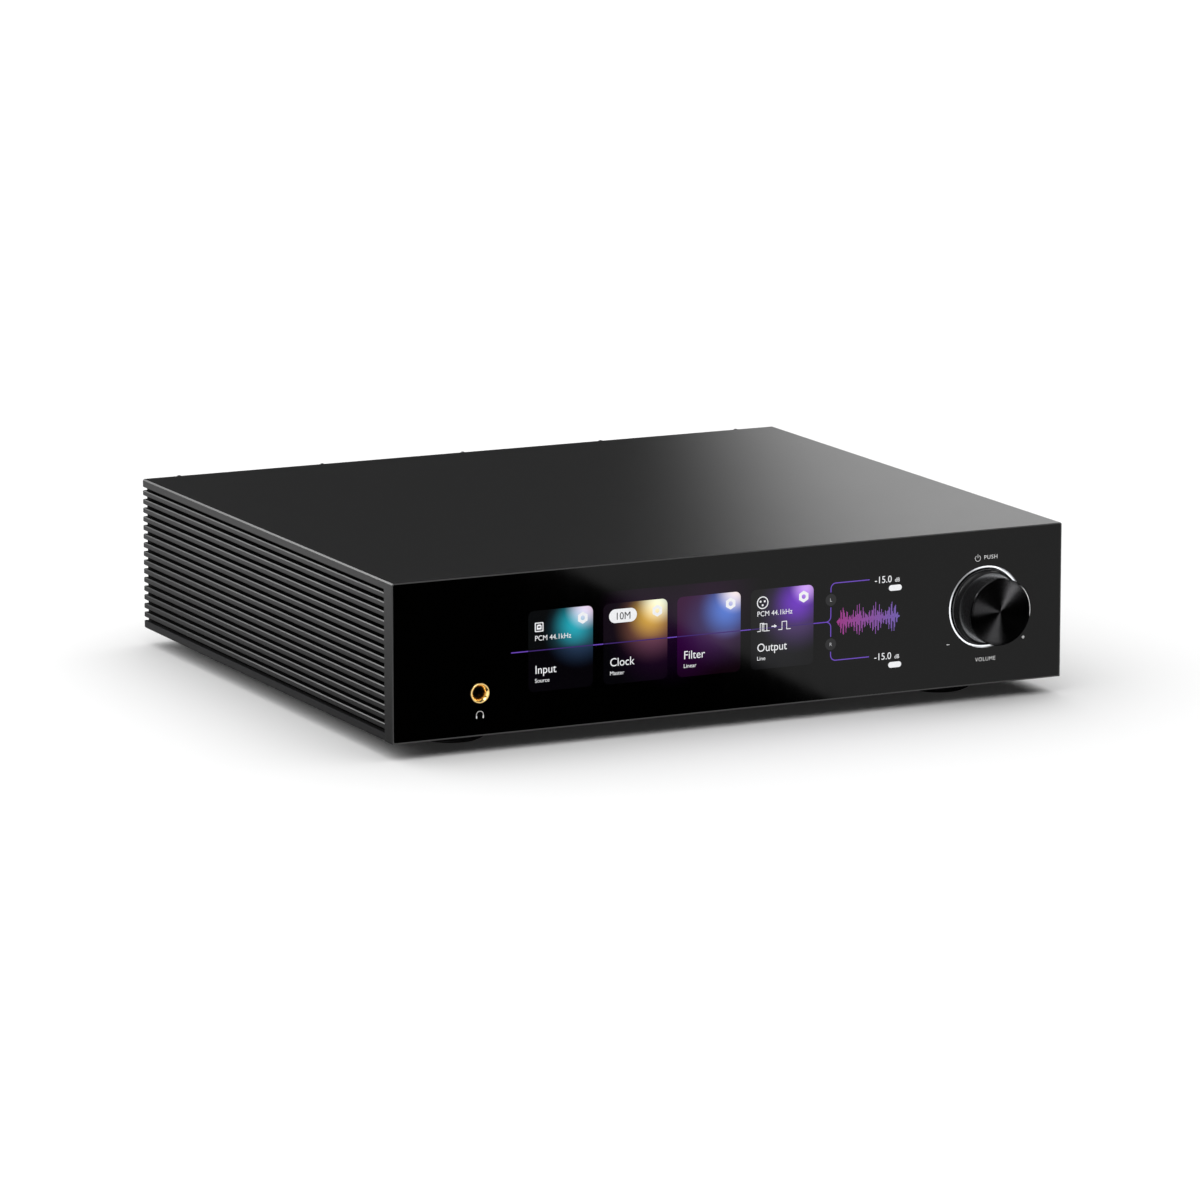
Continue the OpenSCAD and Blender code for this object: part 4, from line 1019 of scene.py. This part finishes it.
def make_floor():
    material, tree, shader = start("floor")
    shade = noise(tree, place(tree), 3, 2)
    paint = blend_colour(tree, shade, rgb(0.80, 0.80, 0.80), rgb(0.82, 0.82, 0.82))
    tree.links.new(paint, shader.inputs["Base Color"])
    shader.inputs["Roughness"].default_value = 0.9
    shader.inputs["Specular IOR Level"].default_value = 0.1
    shader.inputs["Emission Color"].default_value = rgb(1, 1, 1)
    shader.inputs["Emission Strength"].default_value = FLOOR_HAZE
    half = 30
    floor = stage_plane("floor", [(-half, -half, 0), (half, -half, 0), (half, half, 0), (-half, half, 0)],
                        material)
    floor.visible_glossy = False


def make_world():
    """White to the camera, dim to surfaces, and in reflections dark but for above and below."""
    world = bpy.data.worlds.new("studio")
    bpy.context.scene.world = world
    world.use_nodes = True
    tree = world.node_tree
    ground = tree.nodes["Background"]
    ray = add(tree, "LightPath")
    height = add(tree, "SeparateXYZ", {0: add(tree, "TexCoord").outputs["Generated"]}).outputs["Z"]
    above = remap(tree, height, 0.6, 1.0, 0.0, 0.2, smooth=True)
    below = remap(tree, height, -0.6, -1.0, 0.0, 0.3, smooth=True)
    glossy = add(tree, "Math", {0: above, 1: below}, operation="ADD").outputs[0]
    seen = blend_colour(tree, ray.outputs["Is Glossy Ray"], rgb(0.03, 0.03, 0.03), glossy)
    colour = blend_colour(tree, ray.outputs["Is Camera Ray"], seen, rgb(1, 1, 1))
    tree.links.new(colour, ground.inputs["Color"])
    ground.inputs["Strength"].default_value = 1.0


def make_lights():
    sky_light("overhead", (-0.15, 0.20, 1), 130, 4.2)


def light_knob(knob, well):
    """Lights of the turned face's three rays, of the rim's edge and of the flared skirt."""
    centre = (KNOB_X, KNOB_LOW[1], KNOB_Z)
    face, rim, low_rim, skirt = FACE_TILT, 1.0, 1.235, 0.9
    for name, way, slope, distance, size, level in (
        ("ray_upper_right", (0.65, 0.76), face, 1.0, 0.10, 9.0),
        ("ray_upper_left", (-0.96, 0.28), face, 1.0, 0.16, 2.6),
        ("ray_low", (-0.10, -0.99), face, 1.0, 0.16, 2.6),
        ("rim_right", (0.93, 0.36), rim, 1.0, 0.55, 9.0),
        ("rim_low", (-0.71, -0.71), low_rim, 0.05, 0.010, 1.5),
        ("skirt_left", (-0.80, 0.60), skirt, 1.0, 0.12, 10.0),
        ("skirt_top", (0.25, 0.97), skirt, 1.0, 0.12, 10.0),
        ("skirt_broad", (-0.6, 0.8), skirt, 1.0, 1.1, 0.60),
    ):
        normal = Vector((way[0] * slope, -1, way[1] * slope)).normalized()
        light = area_light("knob_" + name, centre, mirrored(normal), distance, (size, size), level)
        only_for(light, [knob, well])


def light_jack():
    """Broad light that the headphone ring's gold mirrors, and a small glint low on its right."""
    ring = bpy.data.objects["headphone_ring"]
    centre = (JACK_X, JACK_LOW[1], JACK_Z)
    for name, normal, distance, size, level in (
        ("broad", (0, -1, 0), 1.0, 1.6, 0.85),
        ("funnel", (-0.6, -0.75, 0.1), 1.0, 1.0, 1.3),
        ("glint", (-0.45, -0.7, 0.5), 1.0, 0.4, 7.0),
        ("crown", (-0.2, -0.9, 0.4), 1.0, 0.35, 6.0),
    ):
        towards = mirrored(Vector(normal).normalized())
        only_for(area_light("jack_" + name, centre, towards, distance, (size, size), level), [ring])


REAR_NODES = (
    "rear_panel", "rear_screws", "mains_inlet", "inlet_pins", "fuse_drawer", "fuse", "power_rocker",
    "xlr_output_sockets", "xlr_output_pins", "xlr_input_socket", "xlr_latch", "rca_shells",
    "rca_insulators", "rca_rings", "clock_socket", "data_socket_shells", "data_socket_tongues",
    "optical_socket", "optical_shutter", "trigger_jacks",
)


def light_rear():
    """Two softboxes behind the unit, for its rear panel and sockets."""
    middle = (0, REAR_HIGH[1], (REAR_LOW[2] + REAR_HIGH[2]) / 2)
    nodes = [frame["nodes"][name] for name in REAR_NODES]
    for name, towards, size, level in (
        ("high", (-0.5, 1.0, 0.9), (1.2, 0.8), 3.0), ("low", (0.9, 1.0, 0.3), (0.8, 0.8), 2.0),
    ):
        only_for(area_light("rear_" + name, middle, towards, 1.4, size, level), nodes)


def reflection_card(name, start_at, along, distance, size, paint):
    """Card that only reflections see, square to a ray from a place on the object.

    paint(tree, right, up) gives its level from places about the ray, in metres.
    """
    ahead = Vector(along).normalized()
    right = ahead.cross(Vector((0, 0, 1))).normalized()
    up = right.cross(ahead)
    material, tree, shader = start(name)
    here = add(tree, "SeparateXYZ", {0: add(tree, "TexCoord").outputs["Object"]})
    level = paint(tree, here.outputs["X"], here.outputs["Y"])
    glow = add(tree, "Emission", {"Strength": level}).outputs[0]
    tree.links.new(glow, tree.nodes["Material Output"].inputs["Surface"])
    (left, low), (far, high) = size
    card = stage_plane(name, [(left, low, 0), (far, low, 0), (far, high, 0), (left, high, 0)], material)
    card.matrix_world = Matrix.Translation(Vector(start_at) + ahead * distance) @ Matrix(
        (right, up, -ahead)).transposed().to_4x4()
    for kind in ("camera", "diffuse", "shadow", "transmission", "volume_scatter"):
        setattr(card, "visible_" + kind, False)
    return card


def even(level):
    """Paint of a card that is as bright all over."""
    return lambda tree, right, up: level


CASE_MIDDLE_Z = (CASE_LOW[2] + CASE_HIGH[2]) / 2


def make_cards_for_reflections(front_pieces):
    """What the front, the top, the left side and their edges mirror towards the camera."""
    node = frame["nodes"]

    def glass(tree, right, up):
        """Lit above a slanting edge."""
        rise = add(tree, "Math", {0: right, 1: -0.495, 2: up}, operation="MULTIPLY_ADD").outputs[0]
        return remap(tree, rise, -0.0120, -0.0050, 0.0, 0.45, smooth=True)

    def top(tree, right, up):
        """Lit beyond an edge that runs back across the top cover, a little askew."""
        across = add(tree, "Math", {0: up, 1: -0.43, 2: right}, operation="MULTIPLY_ADD").outputs[0]
        return remap(tree, across, 0.060, 0.195, 0.0, 1.15, smooth=True)

    def side(tree, right, up):
        height = remap(tree, up, -0.10, 0.09, 0.03, 0.85, smooth=True)
        depth = remap(tree, right, -0.06, 0.16, 1.0, 0.45, smooth=True)
        return add(tree, "Math", {0: height, 1: depth}, operation="MULTIPLY").outputs[0]

    def edges(tree, right, up):
        return remap(tree, up, -0.25, 0.25, 1.0, 5.5, smooth=True)

    middle = (0, GLASS_LOW[1], CASE_MIDDLE_Z)
    ahead = mirrored((0, -1, 0))
    card = reflection_card("glass_card", middle, ahead, 1.5, ((-0.6, -0.4), (0.6, 0.4)), glass)
    only_for(card, [node["front_glass"]] + front_pieces)
    roof = (0, 0, CASE_HIGH[2])
    card = reflection_card("top_card", roof, mirrored((0, 0, 1)), 0.9, ((0.0, -0.16), (0.7, 0.5)), top)
    only_for(card, [node["top_cover"], node["front_frame"]])
    flank = (LEFT_X, 0, CASE_MIDDLE_Z)
    card = reflection_card("side_card", flank, mirrored((-1, 0, 0)), 0.4, ((-0.3, -0.15), (0.3, 0.2)), side)
    only_for(card, [node["left_side_panel"], node["top_cover"], node["front_frame"], node["bottom_plate"]])
    lip = (0, CASE_LOW[1], BASE_Z)
    beneath = mirrored(Vector((0, -1, -1)).normalized())
    card = reflection_card("lip_card", lip, beneath, 0.8, ((-0.8, -0.6), (0.8, 0.6)), even(1.1))
    only_for(card, [node["front_frame"]])
    light = area_light("frame_front", middle, ahead, 1.2, (1.8, 1.8), 0.9)
    only_for(light, [node["front_frame"]])
    brim = mirrored(Vector((0, -1, 1)).normalized())
    card = reflection_card("brim_card", middle, brim, 1.5, ((-0.8, -0.6), (0.8, 0.6)), even(0.9))
    only_for(card, [node["front_glass"]])
    slanted = mirrored(Vector((-1, 0, 1)).normalized())
    card = reflection_card("edge_card", flank, slanted, 1.2, ((-0.25, -0.25), (0.25, 0.25)), edges)
    only_for(card, [node["left_side_panel"], node["top_cover"], node["front_frame"]])


def make_studio():
    bpy.context.scene.view_settings.view_transform = "Standard"
    make_camera()
    make_floor()
    make_world()
    make_lights()


def main():
    make_studio()
    gold = make_jack()
    paint_frame(gold)
    knob = make_knob()
    make_light_ring()
    make_screen()
    make_cards()
    make_marks()
    make_lines()
    make_levels()
    make_waveform()
    make_print()
    front_pieces = [made for made in bpy.data.objects if made.name.startswith(("display_", "front_print"))]
    make_cards_for_reflections([made for made in front_pieces if made.type == "MESH"])
    light_knob(knob, frame["nodes"]["knob_well"])
    light_jack()
    light_rear()


main()
